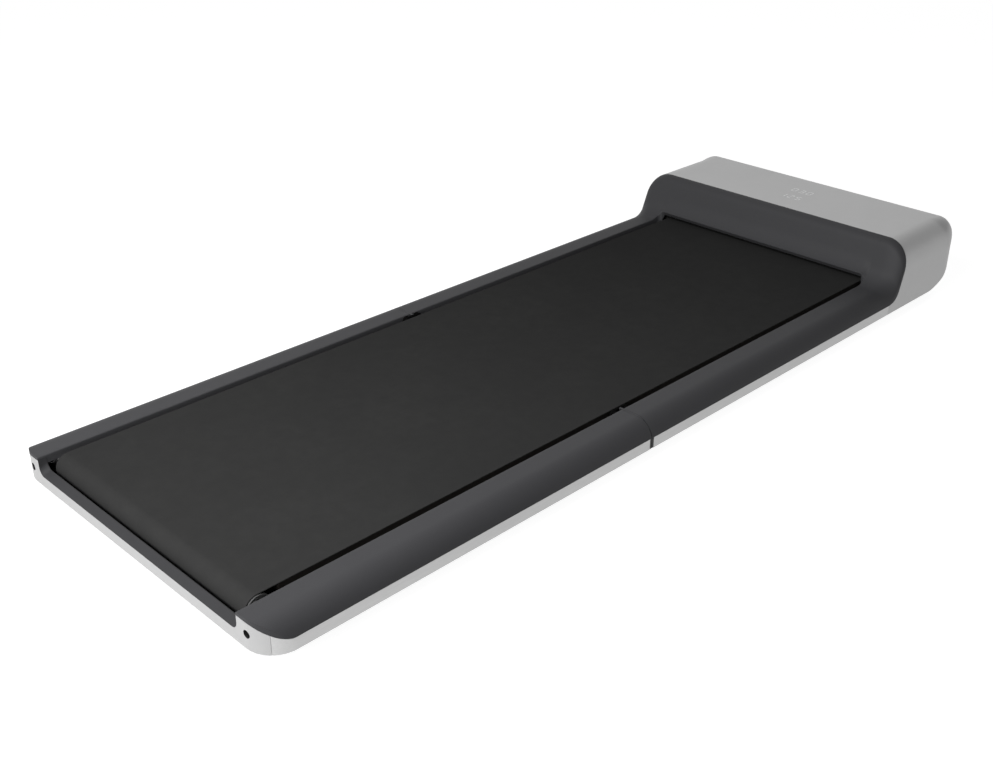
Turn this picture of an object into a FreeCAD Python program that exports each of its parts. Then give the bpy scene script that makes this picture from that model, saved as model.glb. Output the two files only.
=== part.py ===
"""A folding walking pad: two hinged halves, a walking belt and a low drive head.

Millimetres. X runs along the pad with the head at +X, Y across it with the walker's left at +Y,
Z up from the floor. The origin is on the floor under the middle of the pad.
"""
import FreeCAD, Part
import math
import os

from FreeCAD import Vector

# Whole pad
LENGTH = 1432.0
WIDTH = 530.0
HEIGHT = 129.0
SIDE_WIDTH = 62.5
SEAM_X = -103.5
PLAN_ROUND = 38.0

# Levels from the floor upwards
FOOT_HEIGHT = 10.0
PAN_DEPTH = 9.5
RAIL_HEIGHT = 15.5
COVER_RISE = 23.8
BELT_DROP = 1.3

# Walking belt and its rollers
BELT_THICK = 1.5
ROLLER_RADIUS = 16.5
ROLLER_WALL = 3.0
ROLLER_OVERHANG = 1.5
ROLLER_END_WALL = 6.0
SOFT_GAP = 0.3
DRIVE_SETBACK = 3.0
REAR_SETBACK = 34.5

# Fold hinge, with one link on each side of the belt
PIN_DROP = 5.3
PIN_SPAN = 22.0
PIN_RADIUS = 2.5
PIN_HEAD = 0.3
KNUCKLE_RADIUS = 4.8
LINK_CLEAR = 1.5
LINK_THICK = 4.0
BRACKET_THICK = 4.0
BRACKET_REACH = 70.0
BRACKET_SHOULDER = 30.0
SEAM_GAP = 0.6
CAP_THICK = 3.4
CAP_INSET = 0.3
SEAM_STRIP_WIDTH = 40.0
SEAM_STRIP_LIFT = 1.0

# Covers and head
COVER_STEP = 0.5
COVER_WALL = 3.5
COVER_ROUND = 28.0
HEAD_LENGTH = 168.0
HEAD_ROUND = 42.0
END_TOP_ROUND = 20.0
END_FOOT_ROUND = 44.0
EDGE_LEAN_SHARE = 0.28
EDGE_ROUND = 25.0
SLOPE_LEAN_SHARE = 0.35
TOE_ROUND = 25.0
BROW_ROUND = 18.0
LIP_RISE = 6.5
LIP_CORNER = 11.0
WALL_STOP = 43.0
ARC_STEPS = 6

# Side rails with a ledge under each deck
RAIL_WALL = 2.5
FIN_WALL = 3.0
LEDGE_THICK = 3.0
LEDGE_REACH = 32.0
RAIL_STOP = 48.0
HINGE_ZONE = 75.0

# Decks, pads and cross beams
DECK_THICK = 12.0
DECK_INSET = 2.5
DECK_ROLLER_GAP = 6.0
PAD_THICK = 2.7
PAD_RADIUS = 9.0
PAD_INSET = 22.0
PAD_SHARES = (0.06, 0.5, 0.94)
BEAM_WIDTH = 30.0
BEAM_LIFT = 1.6
BEAM_WALL = 2.5
BEAM_SETBACK = 12.0
BEAM_SHARES = (0.3, 0.9)

# Bottom pans, feet and screws
PAN_SHEET = 1.5
PAN_INSET = 40.0
FLANGE_INSET = 7.0
FLANGE_LAP = 3.0
FRONT_PAN_STOP = 61.0
FRONT_FLANGE_STOP = 40.0
REAR_PAN_STOP = 26.0
FOOT_RADIUS = 14.0
FOOT_INSET = 75.0
FOOT_SEAM_SET = 40.0
FOOT_END_SET = 110.0
SCREW_RADIUS = 2.0
SCREW_HEAD_RADIUS = 4.0
SCREW_HEAD_HEIGHT = 2.0
SCREW_INSET = 20.0
PAN_SCREW_SHARES = (0.15, 0.5, 0.85)

# Tail cap and its dark strip
TAIL_WALL = 3.0
TAIL_LEDGE = 10.0
TAIL_LEDGE_THICK = 2.0
TAIL_FILLET = 10.0
STRIP_DEPTH = 11.0
STRIP_RISE = 5.0
STRIP_SHEET = 2.5
STRIP_FOOT = 4.5
ACCESS_RADIUS = 5.0

# Belt tension at the rear roller
TENSION_TRAVEL = 6.0
TENSION_INSET = 35.4
AXLE_RADIUS = 6.0
AXLE_OVERHANG = 6.5
BEARING_WIDTH = 10.0
BLOCK_LENGTH = 18.0
BLOCK_WIDTH = 13.0
BLOCK_HEIGHT = 18.0
BOLT_RADIUS = 3.0
BOLT_TIP = 17.0
BOLT_HEAD_RADIUS = 5.5
BOLT_HEAD_LENGTH = 7.5
BOLT_SOCKET_RADIUS = 3.0
BOLT_SOCKET_DEPTH = 4.0
BOLT_HOLE_CLEAR = 0.4
STAND_WALL = 4.0
STAND_WIDTH = 16.0
STAND_HEIGHT = 29.0
STAND_SETBACK = 12.5
REAR_FRAME_STOP = 66.0
STAND_GAP = 4.0
NOTCH_LIFT = 2.0

# Drive in the head, on the left side
SHAFT_RADIUS = 7.0
SHAFT_OVERHANG = 33.0
BEARING_BLOCK_LENGTH = 32.0
BEARING_BLOCK_WIDTH = 16.0
BEARING_BLOCK_SET = 16.0
BEARING_BLOCK_CROWN = 9.0
FIT = 0.05
PULLEY_SET = 1.5
PULLEY_WIDTH = 12.0
DRIVEN_RADIUS = 23.0
DRIVER_RADIUS = 11.5
DRIVE_BELT_THICK = 2.5
DRIVE_BELT_INSET = 1.0
MOTOR_LIFT = 52.0
MOTOR_RADIUS = 30.0
MOTOR_WALL = 5.0
MOTOR_LENGTH = 135.0
MOTOR_SET = 14.0
ROTOR_RADIUS = 20.0
ROTOR_END_GAP = 12.0
MOTOR_SHAFT_RADIUS = 5.0
MOUNT_LENGTH = 44.0
MOUNT_WIDTH = 80.0
MOUNT_RISE = 27.0

# Electronics in the head, on the right side
BOARD_THICK = 1.6
BOARD_CLEAR = 106.0
BOARD_WIDTH = 130.0
BOARD_SETBACK = 70.0
BOARD_SIDE_SET = 55.0
POST_RADIUS = 3.0
POST_HEIGHT = 8.0
POST_INSET = 6.0
CAPACITOR_RADIUS = 9.0
CAPACITOR_HEIGHT = 30.0
CAPACITOR_PITCH = 22.0
CAPACITOR_COUNT = 2
SINK_WIDTH = 46.0
SINK_BASE = 4.0
SINK_FIN = 2.0
SINK_FIN_HEIGHT = 26.0
SINK_FIN_COUNT = 6
SINK_INSET = 3.0
CABLE_RADIUS = 3.0
CABLE_BEND = 20.0
CABLE_DROP_SET = 29.0
DISPLAY_LENGTH = 90.0
DISPLAY_WIDTH = 90.0
DISPLAY_SETBACK = 96.0
DISPLAY_POST_HEIGHT = 6.0

# Lit figures let into the top of the head
FIGURE_ROWS = ("125", "030")
FIGURE_HEIGHT = 15.0
FIGURE_WIDTH = 8.0
FIGURE_STROKE = 1.8
FIGURE_BREAK = 0.4
FIGURE_PITCH = 15.0
FIGURE_ROW_PITCH = 36.0
FIGURE_DEPTH = 0.8
FIGURE_STROKES = {"0": "abcdef", "1": "bc", "2": "abged", "3": "abgcd", "5": "afgcd"}

# Power inlet and rocker switch in the end of the head
PORT_Z = 80.0
FLUSH = 0.5
INLET_SET = 115.0
INLET_WIDTH = 27.0
INLET_HEIGHT = 20.0
INLET_DEPTH = 22.0
INLET_RIM = 2.0
INLET_POCKET = 15.0
PRONG_LENGTH = 9.5
PRONG_WIDTH = 4.0
PRONG_THICK = 2.0
PRONG_PITCH = 7.0
PRONG_RISE = 2.0
SWITCH_PITCH = 45.0
SWITCH_WIDTH = 21.0
SWITCH_HEIGHT = 22.0
SWITCH_DEPTH = 14.0
SWITCH_RIM = 2.0
ROCKER_GAP = 0.6
ROCKER_SWING_GAP = 2.5
ROCKER_DEPTH = 9.0
ROCKER_DIP = 1.6
ROCKER_PIN_RADIUS = 1.5
ROCKER_TILT_DEGREES = -7

# Transport wheels in the lower edge of the head
WHEEL_RADIUS = 19.0
WHEEL_WIDTH = 16.0
WHEEL_SETBACK = 31.0
WHEEL_LIFT = 33.0
WHEEL_INSET = 65.0
WHEEL_GAP = 1.0
WHEEL_SLOT_GAP = 2.5
WHEEL_GROOVE = 1.2
WHEEL_GROOVE_WIDTH = 3.0
WHEEL_PIN_RADIUS = 3.0
CHEEK_THICK = 2.5
CHEEK_TOP = 9.0
CHEEK_NOSE = 5.0
CHEEK_FOOT = 4.5

# How far a cutting solid runs past what it cuts
OVERRUN = 20.0
TINY = 1e-6

# Places that follow from the sizes above
HALF_LENGTH = LENGTH / 2
HALF_WIDTH = WIDTH / 2
BELT_HALF = HALF_WIDTH - SIDE_WIDTH
RAIL_Z = FOOT_HEIGHT + PAN_DEPTH
RAIL_TOP = RAIL_Z + RAIL_HEIGHT
COVER_Z = RAIL_TOP + COVER_RISE
BELT_Z = COVER_Z - BELT_DROP
BELT_INNER_RADIUS = ROLLER_RADIUS + SOFT_GAP
BELT_OUTER_RADIUS = BELT_INNER_RADIUS + BELT_THICK
ROLLER_Z = BELT_Z - BELT_OUTER_RADIUS
EDGE_X = HALF_LENGTH - HEAD_LENGTH
DRIVE_X = EDGE_X - DRIVE_SETBACK
REAR_X = -HALF_LENGTH + REAR_SETBACK
DECK_Z = BELT_Z - BELT_THICK - SOFT_GAP
LEDGE_Z = DECK_Z - DECK_THICK - PAD_THICK
DECK_HALF = BELT_HALF - DECK_INSET
PIN_Z = COVER_Z - PIN_DROP
LINK_Y = BELT_HALF + LINK_CLEAR
BRACKET_Y = LINK_Y + LINK_THICK + SOFT_GAP
FIN_Y = BRACKET_Y + BRACKET_THICK
COVER_Y = FIN_Y + COVER_STEP
COVER_WALL_Y = COVER_Y + COVER_WALL
BEAM_Z = ROLLER_Z - BELT_INNER_RADIUS + BEAM_LIFT
SLOPE_TURN = math.atan2(1, SLOPE_LEAN_SHARE)
BROW_X = EDGE_X - BROW_ROUND * math.tan(SLOPE_TURN / 2)
RAIL_STOP_X = EDGE_X - RAIL_STOP
WALL_STOP_X = EDGE_X - WALL_STOP
REAR_FRAME_X = -HALF_LENGTH + REAR_FRAME_STOP
PAN_FLOOR = FOOT_HEIGHT + PAN_SHEET
PAN_HALF = HALF_WIDTH - PAN_INSET
FRONT_PAN_X = HALF_LENGTH - FRONT_PAN_STOP
REAR_PAN_X = -HALF_LENGTH + REAR_PAN_STOP
TENSION_Y = HALF_WIDTH - TENSION_INSET
TAIL_BAR_Z = RAIL_TOP - FLUSH
BLOCK_FLOOR = ROLLER_Z - BLOCK_HEIGHT / 2 - SOFT_GAP
STAND_X = REAR_X - STAND_SETBACK - BLOCK_LENGTH / 2
PULLEY_Y = BELT_HALF + ROLLER_OVERHANG + PULLEY_SET
MOTOR_X = (DRIVE_X + BELT_OUTER_RADIUS + FRONT_PAN_X) / 2
MOTOR_Z = FOOT_HEIGHT + MOTOR_LIFT
MOTOR_END_Y = PULLEY_Y - MOTOR_SET
BOARD_LENGTH = HEAD_LENGTH - BOARD_CLEAR
BOARD_X = HALF_LENGTH - BOARD_SETBACK
BOARD_Y = -HALF_WIDTH + BOARD_SIDE_SET
BOARD_Z = PAN_FLOOR + POST_HEIGHT
DISPLAY_X = HALF_LENGTH - DISPLAY_SETBACK
PORT_X = HALF_LENGTH - FLUSH
INLET_Y = -HALF_WIDTH + INLET_SET
SWITCH_Y = INLET_Y + SWITCH_PITCH
WHEEL_X = HALF_LENGTH - WHEEL_SETBACK
WHEEL_Y = HALF_WIDTH - WHEEL_INSET

FRONT = 1
REAR = -1


def rounded_wire(corners, place):
    """Closed wire through flat corners (a, b, radius); place turns a flat point into a real one."""
    spans = []
    for index, (a, b, radius) in enumerate(corners):
        corner = Vector(a, b, 0)
        before = corners[index - 1]
        after = corners[(index + 1) % len(corners)]
        to_before = (Vector(before[0], before[1], 0) - corner).normalize()
        to_after = (Vector(after[0], after[1], 0) - corner).normalize()
        half_angle = to_before.getAngle(to_after) / 2
        reach = radius / math.tan(half_angle)
        bulge = radius / math.sin(half_angle) - radius
        middle = corner
        if radius:
            middle = corner + (to_before + to_after).normalize() * bulge
        spans.append((corner + to_before * reach, middle, corner + to_after * reach, radius))
    edges = []
    for index, (start, middle, end, radius) in enumerate(spans):
        if radius:
            edges.append(Part.Arc(place(start), place(middle), place(end)).toShape())
        following = spans[(index + 1) % len(spans)][0]
        if end.distanceToPoint(following) > TINY:
            edges.append(Part.makeLine(place(end), place(following)))
    return Part.Wire(edges)


def sharp(*points):
    """Corners without rounding."""
    return [(a, b, 0) for a, b in points]


def prism_x(corners, x0, x1):
    """Outline in Y and Z, drawn out along X."""
    face = Part.Face(rounded_wire(corners, lambda p: Vector(x0, p.x, p.y)))
    return face.extrude(Vector(x1 - x0, 0, 0))


def prism_y(corners, y0, y1):
    """Outline in X and Z, drawn out along Y."""
    face = Part.Face(rounded_wire(corners, lambda p: Vector(p.x, y0, p.y)))
    return face.extrude(Vector(0, y1 - y0, 0))


def prism_z(corners, z0, z1):
    """Outline in X and Y, drawn out along Z."""
    face = Part.Face(rounded_wire(corners, lambda p: Vector(p.x, p.y, z0)))
    return face.extrude(Vector(0, 0, z1 - z0))


def box(x0, x1, y0, y1, z0, z1):
    """Box between two corners, given in either order along X."""
    low, high = min(x0, x1), max(x0, x1)
    return Part.makeBox(high - low, y1 - y0, z1 - z0, Vector(low, y0, z0))


def rod_x(x0, x1, y, z, radius):
    return Part.makeCylinder(radius, x1 - x0, Vector(x0, y, z), Vector(1, 0, 0))


def rod_y(y0, y1, x, z, radius):
    return Part.makeCylinder(radius, y1 - y0, Vector(x, y0, z), Vector(0, 1, 0))


def rod_z(z0, z1, x, y, radius):
    return Part.makeCylinder(radius, z1 - z0, Vector(x, y, z0), Vector(0, 0, 1))


def mirrored(shape):
    """The same piece on the other side of the pad."""
    return shape.mirror(Vector(0, 0, 0), Vector(0, 1, 0))


def pair(shape):
    return Part.makeCompound([shape, mirrored(shape)])


def fused(shapes):
    """One solid from several that overlap or touch."""
    return shapes[0].multiFuse(shapes[1:]).removeSplitter()


def cut(shape, tools):
    """A shape less one or more others."""
    for tool in tools:
        shape = shape.cut(tool)
    return shape


def along(half, distance):
    """X of a point on one half, a distance from the seam."""
    return SEAM_X + half * distance


def pin_x(half):
    return along(half, PIN_SPAN / 2)


def seam_trim(half):
    """What a half gives up at the seam: all past it, and all above its pin that would swing across."""
    radius = PIN_SPAN / 2 - SEAM_GAP
    wall = along(half, SEAM_GAP)
    out = along(half, -OVERRUN - PIN_SPAN)
    top = HEIGHT + OVERRUN
    centre = pin_x(half)
    corner = Vector(wall, 0, PIN_Z)
    crown = Vector(centre, 0, PIN_Z + radius)
    lean = radius * math.sqrt(0.5)
    bend = Part.Arc(corner, Vector(centre - half * lean, 0, PIN_Z + lean), crown).toShape()
    points = [
        crown, Vector(centre, 0, top), Vector(out, 0, top),
        Vector(out, 0, -OVERRUN), Vector(wall, 0, -OVERRUN), corner,
    ]
    sides = [Part.makeLine(start, end) for start, end in zip(points, points[1:])]
    face = Part.Face(Part.Wire([bend] + sides))
    face.translate(Vector(0, -WIDTH, 0))
    return face.extrude(Vector(0, 2 * WIDTH, 0))


def plan_block(shift):
    """The pad's plan with its rounded corners, moved in by shift, as a tall block."""
    x = HALF_LENGTH - shift
    y = HALF_WIDTH - shift
    r = PLAN_ROUND - shift
    return prism_z([(-x, -y, r), (x, -y, r), (x, y, r), (-x, y, r)], -OVERRUN, HEIGHT + OVERRUN)


def rail_outline(shift, inner):
    """Section of the left rail with its cover, moved in by shift."""
    outer = HALF_WIDTH - shift
    top = COVER_Z - shift
    return [(inner, RAIL_Z, 0), (outer, RAIL_Z, 0), (outer, top, COVER_ROUND - shift), (inner, top, 0)]


def top_line(shift):
    """Points (x, z) of the front half's top along the middle: flat, toe arc, slope, brow arc, flat."""
    low = COVER_Z - shift
    high = HEIGHT - shift
    toe = TOE_ROUND + shift
    brow = BROW_ROUND - shift
    slope_x = BROW_X + shift * math.hypot(1, SLOPE_LEAN_SHARE)
    toe_x = slope_x - SLOPE_LEAN_SHARE * (HEIGHT - low) - toe * math.tan(SLOPE_TURN / 2)
    brow_x = slope_x - SLOPE_LEAN_SHARE * (HEIGHT - high) + brow * math.tan(SLOPE_TURN / 2)
    turns = [SLOPE_TURN * step / ARC_STEPS for step in range(ARC_STEPS + 1)]
    points = [(SEAM_X - OVERRUN, low)]
    points += [(toe_x + toe * math.sin(t), low + toe * (1 - math.cos(t))) for t in turns]
    points += [(brow_x - brow * math.sin(t), high - brow * (1 - math.cos(t))) for t in reversed(turns)]
    return points + [(HALF_LENGTH + OVERRUN, high)]


def front_block(shift):
    """Solid under the front half's skin, moved in by shift: a loft through rounded sections."""
    half = HALF_WIDTH - shift
    low = COVER_Z - shift
    high = HEIGHT - shift
    wires = []
    for x, z in top_line(shift):
        rise_share = (z - low) / (high - low)
        r = COVER_ROUND - shift + (HEAD_ROUND - COVER_ROUND) * rise_share
        corners = [(-half, RAIL_Z, 0), (half, RAIL_Z, 0), (half, z, r), (-half, z, r)]
        wires.append(rounded_wire(corners, lambda p, x=x: Vector(x, p.x, p.y)))
    skin = Part.makeLoft(wires, True, True)
    end_x = HALF_LENGTH - shift
    floor = RAIL_Z + shift
    side = [
        (SEAM_X - OVERRUN, floor, 0), (end_x, floor, END_FOOT_ROUND - shift),
        (end_x, high, END_TOP_ROUND - shift), (SEAM_X - OVERRUN, high, 0),
    ]
    return skin.common(prism_y(side, -HALF_WIDTH, HALF_WIDTH)).common(plan_block(shift))


def front_skin():
    """Both front covers as one hollow shell, open below, with solid walls beside the belt."""
    hollow = front_block(COVER_WALL)
    mouth_x = HALF_LENGTH - END_FOOT_ROUND
    half = HALF_WIDTH - COVER_WALL
    start = SEAM_X - OVERRUN
    mouth = box(start, mouth_x, -half, half, RAIL_Z - OVERRUN, RAIL_Z + COVER_WALL)
    walls = box(start, WALL_STOP_X, -COVER_WALL_Y, COVER_WALL_Y, LEDGE_Z, HEIGHT + OVERRUN)
    return front_block(0).cut(hollow.fuse(mouth).cut(walls))


def colour_edge():
    """Where the silver head meets the dark cover, seen from the side: foot, corner and top."""
    top = HEIGHT + OVERRUN
    foot_x = EDGE_X - EDGE_LEAN_SHARE * (HEIGHT - RAIL_TOP)
    return (foot_x, RAIL_TOP, EDGE_ROUND), (EDGE_X + EDGE_LEAN_SHARE * OVERRUN, top, 0)


def front_cover(skin):
    """Dark moulding: both front rail covers and the sloped face of the head."""
    corner, top = colour_edge()
    start = SEAM_X - OVERRUN
    dark = prism_y([(start, RAIL_TOP, 0), corner, top, (start, top[1], 0)], -HALF_WIDTH, HALF_WIDTH)
    lip_z = BELT_Z + LIP_RISE
    lip_x = BROW_X - SLOPE_LEAN_SHARE * (HEIGHT - lip_z)
    opening = [
        (start, -COVER_Y, 0), (lip_x, -COVER_Y, LIP_CORNER),
        (lip_x, COVER_Y, LIP_CORNER), (start, COVER_Y, 0),
    ]
    tools = [
        prism_z(opening, 0, HEIGHT),
        box(start, EDGE_X, -COVER_Y, COVER_Y, 0, lip_z),
        seam_trim(FRONT),
    ]
    return cut(skin.common(dark), tools)


def head_cover(skin, figures):
    """Silver shell of the head with cut-outs for the figures, ports and wheels."""
    corner, top = colour_edge()
    end = HALF_LENGTH + OVERRUN
    silver = [
        (RAIL_STOP_X, 0, 0), (end, 0, 0), (end, top[1], 0), top, corner, (RAIL_STOP_X, RAIL_TOP, 0),
    ]
    slot = rod_y(
        WHEEL_Y - WHEEL_WIDTH / 2 - WHEEL_SLOT_GAP, WHEEL_Y + WHEEL_WIDTH / 2 + WHEEL_SLOT_GAP,
        WHEEL_X, WHEEL_LIFT, WHEEL_RADIUS + WHEEL_SLOT_GAP,
    )
    tools = [
        figures, slot, mirrored(slot),
        port(INLET_Y, INLET_WIDTH, INLET_HEIGHT, OVERRUN),
        port(SWITCH_Y, SWITCH_WIDTH, SWITCH_HEIGHT, OVERRUN),
    ]
    return cut(skin.common(prism_y(silver, -HALF_WIDTH, HALF_WIDTH)), tools)


def port(y, width, height, depth, mouth=OVERRUN):
    """Box set into the end of the head, running out past it by mouth."""
    return box(
        PORT_X - depth, PORT_X + mouth, y - width / 2, y + width / 2,
        PORT_Z - height / 2, PORT_Z + height / 2,
    )


def figure_strokes(name, x, y):
    """Strokes of one lit figure; its foot points at the walker and it reads from left to right."""
    long = FIGURE_HEIGHT / 2
    side = FIGURE_WIDTH / 2
    half = FIGURE_STROKE / 2
    across = side - half - FIGURE_BREAK
    places = {"a": long, "g": 0, "d": -long}
    uprights = {"f": (1, 1), "b": (1, -1), "e": (-1, 1), "c": (-1, -1)}
    top = HEIGHT - FIGURE_DEPTH
    strokes = []
    for stroke in FIGURE_STROKES[name]:
        if stroke in places:
            mid = x + places[stroke]
            strokes.append(box(mid - half, mid + half, y - across, y + across, top, HEIGHT))
        else:
            up, left = uprights[stroke]
            near = x + up * (half + FIGURE_BREAK)
            far = x + up * (long - half - FIGURE_BREAK)
            mid = y + left * side
            strokes.append(box(near, far, mid - half, mid + half, top, HEIGHT))
    return strokes


def display_figures():
    """Light pipes set flush in the top of the head."""
    strokes = []
    for row, text in enumerate(FIGURE_ROWS):
        x = DISPLAY_X + FIGURE_ROW_PITCH * (row - (len(FIGURE_ROWS) - 1) / 2)
        for column, name in enumerate(text):
            y = FIGURE_PITCH * ((len(text) - 1) / 2 - column)
            strokes += figure_strokes(name, x, y)
    return Part.makeCompound(strokes)


def display_board():
    """Board under the figures, hung from the head's top on four posts."""
    x = DISPLAY_LENGTH / 2
    y = DISPLAY_WIDTH / 2
    top = HEIGHT - COVER_WALL
    low = top - DISPLAY_POST_HEIGHT
    board = box(DISPLAY_X - x, DISPLAY_X + x, -y, y, low - BOARD_THICK, low)
    posts = [
        rod_z(low, top, DISPLAY_X + side_x * (x - POST_INSET), side_y * (y - POST_INSET), POST_RADIUS)
        for side_x in (1, -1) for side_y in (1, -1)
    ]
    return fused([board] + posts)


def rail(half, end_x, bare_x):
    """Left aluminium rail: a flat box, a fin beside the belt and a ledge that carries the deck.

    Past bare_x only the outer wall is left, to make room for the roller's ends.
    """
    start = along(half, SEAM_GAP + CAP_THICK)
    outer = sharp((FIN_Y, RAIL_Z), (HALF_WIDTH, RAIL_Z), (HALF_WIDTH, RAIL_TOP), (FIN_Y, RAIL_TOP))
    inner = sharp(
        (FIN_Y + FIN_WALL, RAIL_Z + RAIL_WALL), (HALF_WIDTH - RAIL_WALL, RAIL_Z + RAIL_WALL),
        (HALF_WIDTH - RAIL_WALL, RAIL_TOP - RAIL_WALL), (FIN_Y + FIN_WALL, RAIL_TOP - RAIL_WALL),
    )
    tube = prism_x(outer, start, end_x).cut(prism_x(inner, start, end_x))
    fin = box(start, end_x, FIN_Y, FIN_Y + FIN_WALL, RAIL_TOP, LEDGE_Z)
    ledge_x = along(half, HINGE_ZONE)
    ledge = box(ledge_x, end_x, FIN_Y - LEDGE_REACH, FIN_Y + FIN_WALL, LEDGE_Z - LEDGE_THICK, LEDGE_Z)
    past = end_x + half * OVERRUN
    bare = box(bare_x, past, 0, HALF_WIDTH - RAIL_WALL, 0, HEIGHT)
    return fused([tube, fin, ledge]).cut(bare)


def rear_cover():
    """Dark cover of the left rear rail, following the plan's rounded corner."""
    tail = -HALF_LENGTH
    outer = prism_x(rail_outline(0, COVER_Y), tail, SEAM_X + OVERRUN)
    inner = prism_x(rail_outline(COVER_WALL, COVER_WALL_Y), tail, SEAM_X + OVERRUN)
    wall_top = COVER_Z - COVER_WALL
    notch = ROLLER_Z + AXLE_RADIUS + NOTCH_LIFT
    tools = [
        box(tail, SEAM_X + OVERRUN, 0, WIDTH, 0, RAIL_TOP),
        box(tail, SEAM_X + OVERRUN, 0, COVER_WALL_Y, 0, LEDGE_Z),
        box(tail, REAR_FRAME_X, 0, COVER_WALL_Y, 0, notch),
        box(tail, tail + TAIL_WALL, 0, COVER_WALL_Y, 0, wall_top),
        seam_trim(REAR),
    ]
    return cut(outer.cut(inner).common(plan_block(0)), tools)


def tail_cap():
    """Silver end of the rear half: a low bar and two raised corners, with a ledge that sits on the pan."""
    tail = -HALF_LENGTH
    front = tail + PLAN_ROUND
    ring = plan_block(0).cut(plan_block(TAIL_WALL))
    under_cover = prism_x(rail_outline(COVER_WALL, COVER_Y), tail, front)
    band = box(tail, front, COVER_Y, HALF_WIDTH, RAIL_Z, RAIL_TOP)
    bar = box(tail, front, -COVER_Y, COVER_Y, RAIL_Z, TAIL_BAR_Z)
    ears = under_cover.fuse(band)
    wall = ring.common(fused([ears, mirrored(ears), bar]))
    side = COVER_Y - TAIL_FILLET
    top = TAIL_BAR_Z + TAIL_FILLET
    web = box(tail, tail + TAIL_WALL, side, COVER_Y, TAIL_BAR_Z, top)
    web = web.cut(rod_x(tail, tail + TAIL_WALL, side, top, TAIL_FILLET))
    ledge = plan_block(0).cut(plan_block(TAIL_LEDGE))
    ledge = ledge.common(box(tail, front, -HALF_WIDTH, HALF_WIDTH, RAIL_Z, RAIL_Z + TAIL_LEDGE_THICK))
    hole = rod_x(tail - OVERRUN, tail + TAIL_LEDGE, TENSION_Y, ROLLER_Z, ACCESS_RADIUS)
    whole = cut(fused([wall, web, mirrored(web), ledge]), [hole])
    middle = whole.common(box(tail, front, -side, side, RAIL_Z, COVER_Z))
    corner = whole.common(box(tail, front, side, HALF_WIDTH, RAIL_Z, COVER_Z))
    return Part.makeCompound([middle, corner, mirrored(corner)])


def tail_strip():
    """Dark strip that slopes up from the tail bar and turns down in front of the belt."""
    tail = -HALF_LENGTH
    crest = tail + STRIP_DEPTH
    wall = tail + TAIL_WALL
    outline = sharp(
        (tail, TAIL_BAR_Z), (crest, TAIL_BAR_Z + STRIP_RISE),
        (crest + STRIP_SHEET, TAIL_BAR_Z + STRIP_RISE - STRIP_SHEET / 2),
        (crest + STRIP_SHEET, RAIL_Z + STRIP_FOOT), (crest, RAIL_Z + STRIP_FOOT),
        (crest, TAIL_BAR_Z + STRIP_RISE - STRIP_SHEET), (wall, TAIL_BAR_Z),
    )
    side = COVER_Y - TAIL_FILLET
    return prism_y(outline, -side, side)


def end_cap(half):
    """Black plate that closes the left rail at the seam."""
    near = along(half, 0)
    far = along(half, SEAM_GAP + CAP_THICK)
    x0, x1 = min(near, far), max(near, far)
    foot = box(x0, x1, FIN_Y, HALF_WIDTH - CAP_INSET, RAIL_Z + CAP_INSET, RAIL_TOP)
    crown = prism_x(rail_outline(COVER_WALL + CAP_INSET, COVER_WALL_Y + CAP_INSET), x0, x1)
    return fused([foot, crown]).cut(seam_trim(half))


def hinge_bracket(half):
    """Left plate on the rail's fin with an ear around its fold pin."""
    pin = pin_x(half)
    ear = rod_y(BRACKET_Y, FIN_Y, pin, PIN_Z, KNUCKLE_RADIUS)
    outline = sharp(
        (along(half, 2 * SEAM_GAP), BEAM_Z), (along(half, BRACKET_REACH), BEAM_Z),
        (along(half, BRACKET_REACH), LEDGE_Z), (along(half, BRACKET_SHOULDER), LEDGE_Z),
        (pin + half * KNUCKLE_RADIUS, PIN_Z), (pin - half * KNUCKLE_RADIUS, PIN_Z),
        (pin - half * KNUCKLE_RADIUS, LEDGE_Z), (along(half, 2 * SEAM_GAP), LEDGE_Z),
    )
    plate = fused([prism_y(outline, BRACKET_Y, FIN_Y), ear])
    return plate.cut(rod_y(BRACKET_Y, FIN_Y, pin, PIN_Z, PIN_RADIUS))


def hinge_pin(half):
    return rod_y(LINK_Y - PIN_HEAD, FIN_Y, pin_x(half), PIN_Z, PIN_RADIUS)


def hinge_link():
    """Left link with a running bore for a pin of each half."""
    y0, y1 = LINK_Y, LINK_Y + LINK_THICK
    ends = [rod_y(y0, y1, pin_x(half), PIN_Z, KNUCKLE_RADIUS) for half in (FRONT, REAR)]
    bar = box(pin_x(REAR), pin_x(FRONT), y0, y1, PIN_Z - KNUCKLE_RADIUS, PIN_Z + KNUCKLE_RADIUS)
    bores = [rod_y(y0, y1, pin_x(half), PIN_Z, PIN_RADIUS + FIT) for half in (FRONT, REAR)]
    return cut(fused(ends + [bar]), bores)


def seam_strip():
    """Left strip on its link that fills the groove between the covers above the fold pins."""
    y0 = LINK_Y + LINK_THICK
    x0, x1 = pin_x(REAR), pin_x(FRONT)
    radius = (PIN_SPAN - SEAM_GAP) / 2
    block = prism_x(rail_outline(0, y0), x0, x1)
    tools = [rod_y(y0, HALF_WIDTH, x, PIN_Z, radius) for x in (x0, x1)]
    tools += [
        box(x0, x1, y0, HALF_WIDTH, 0, PIN_Z + SEAM_STRIP_LIFT),
        box(x0, x1, y0 + SEAM_STRIP_WIDTH, HALF_WIDTH, 0, COVER_Z),
    ]
    return cut(block, tools)


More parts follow.
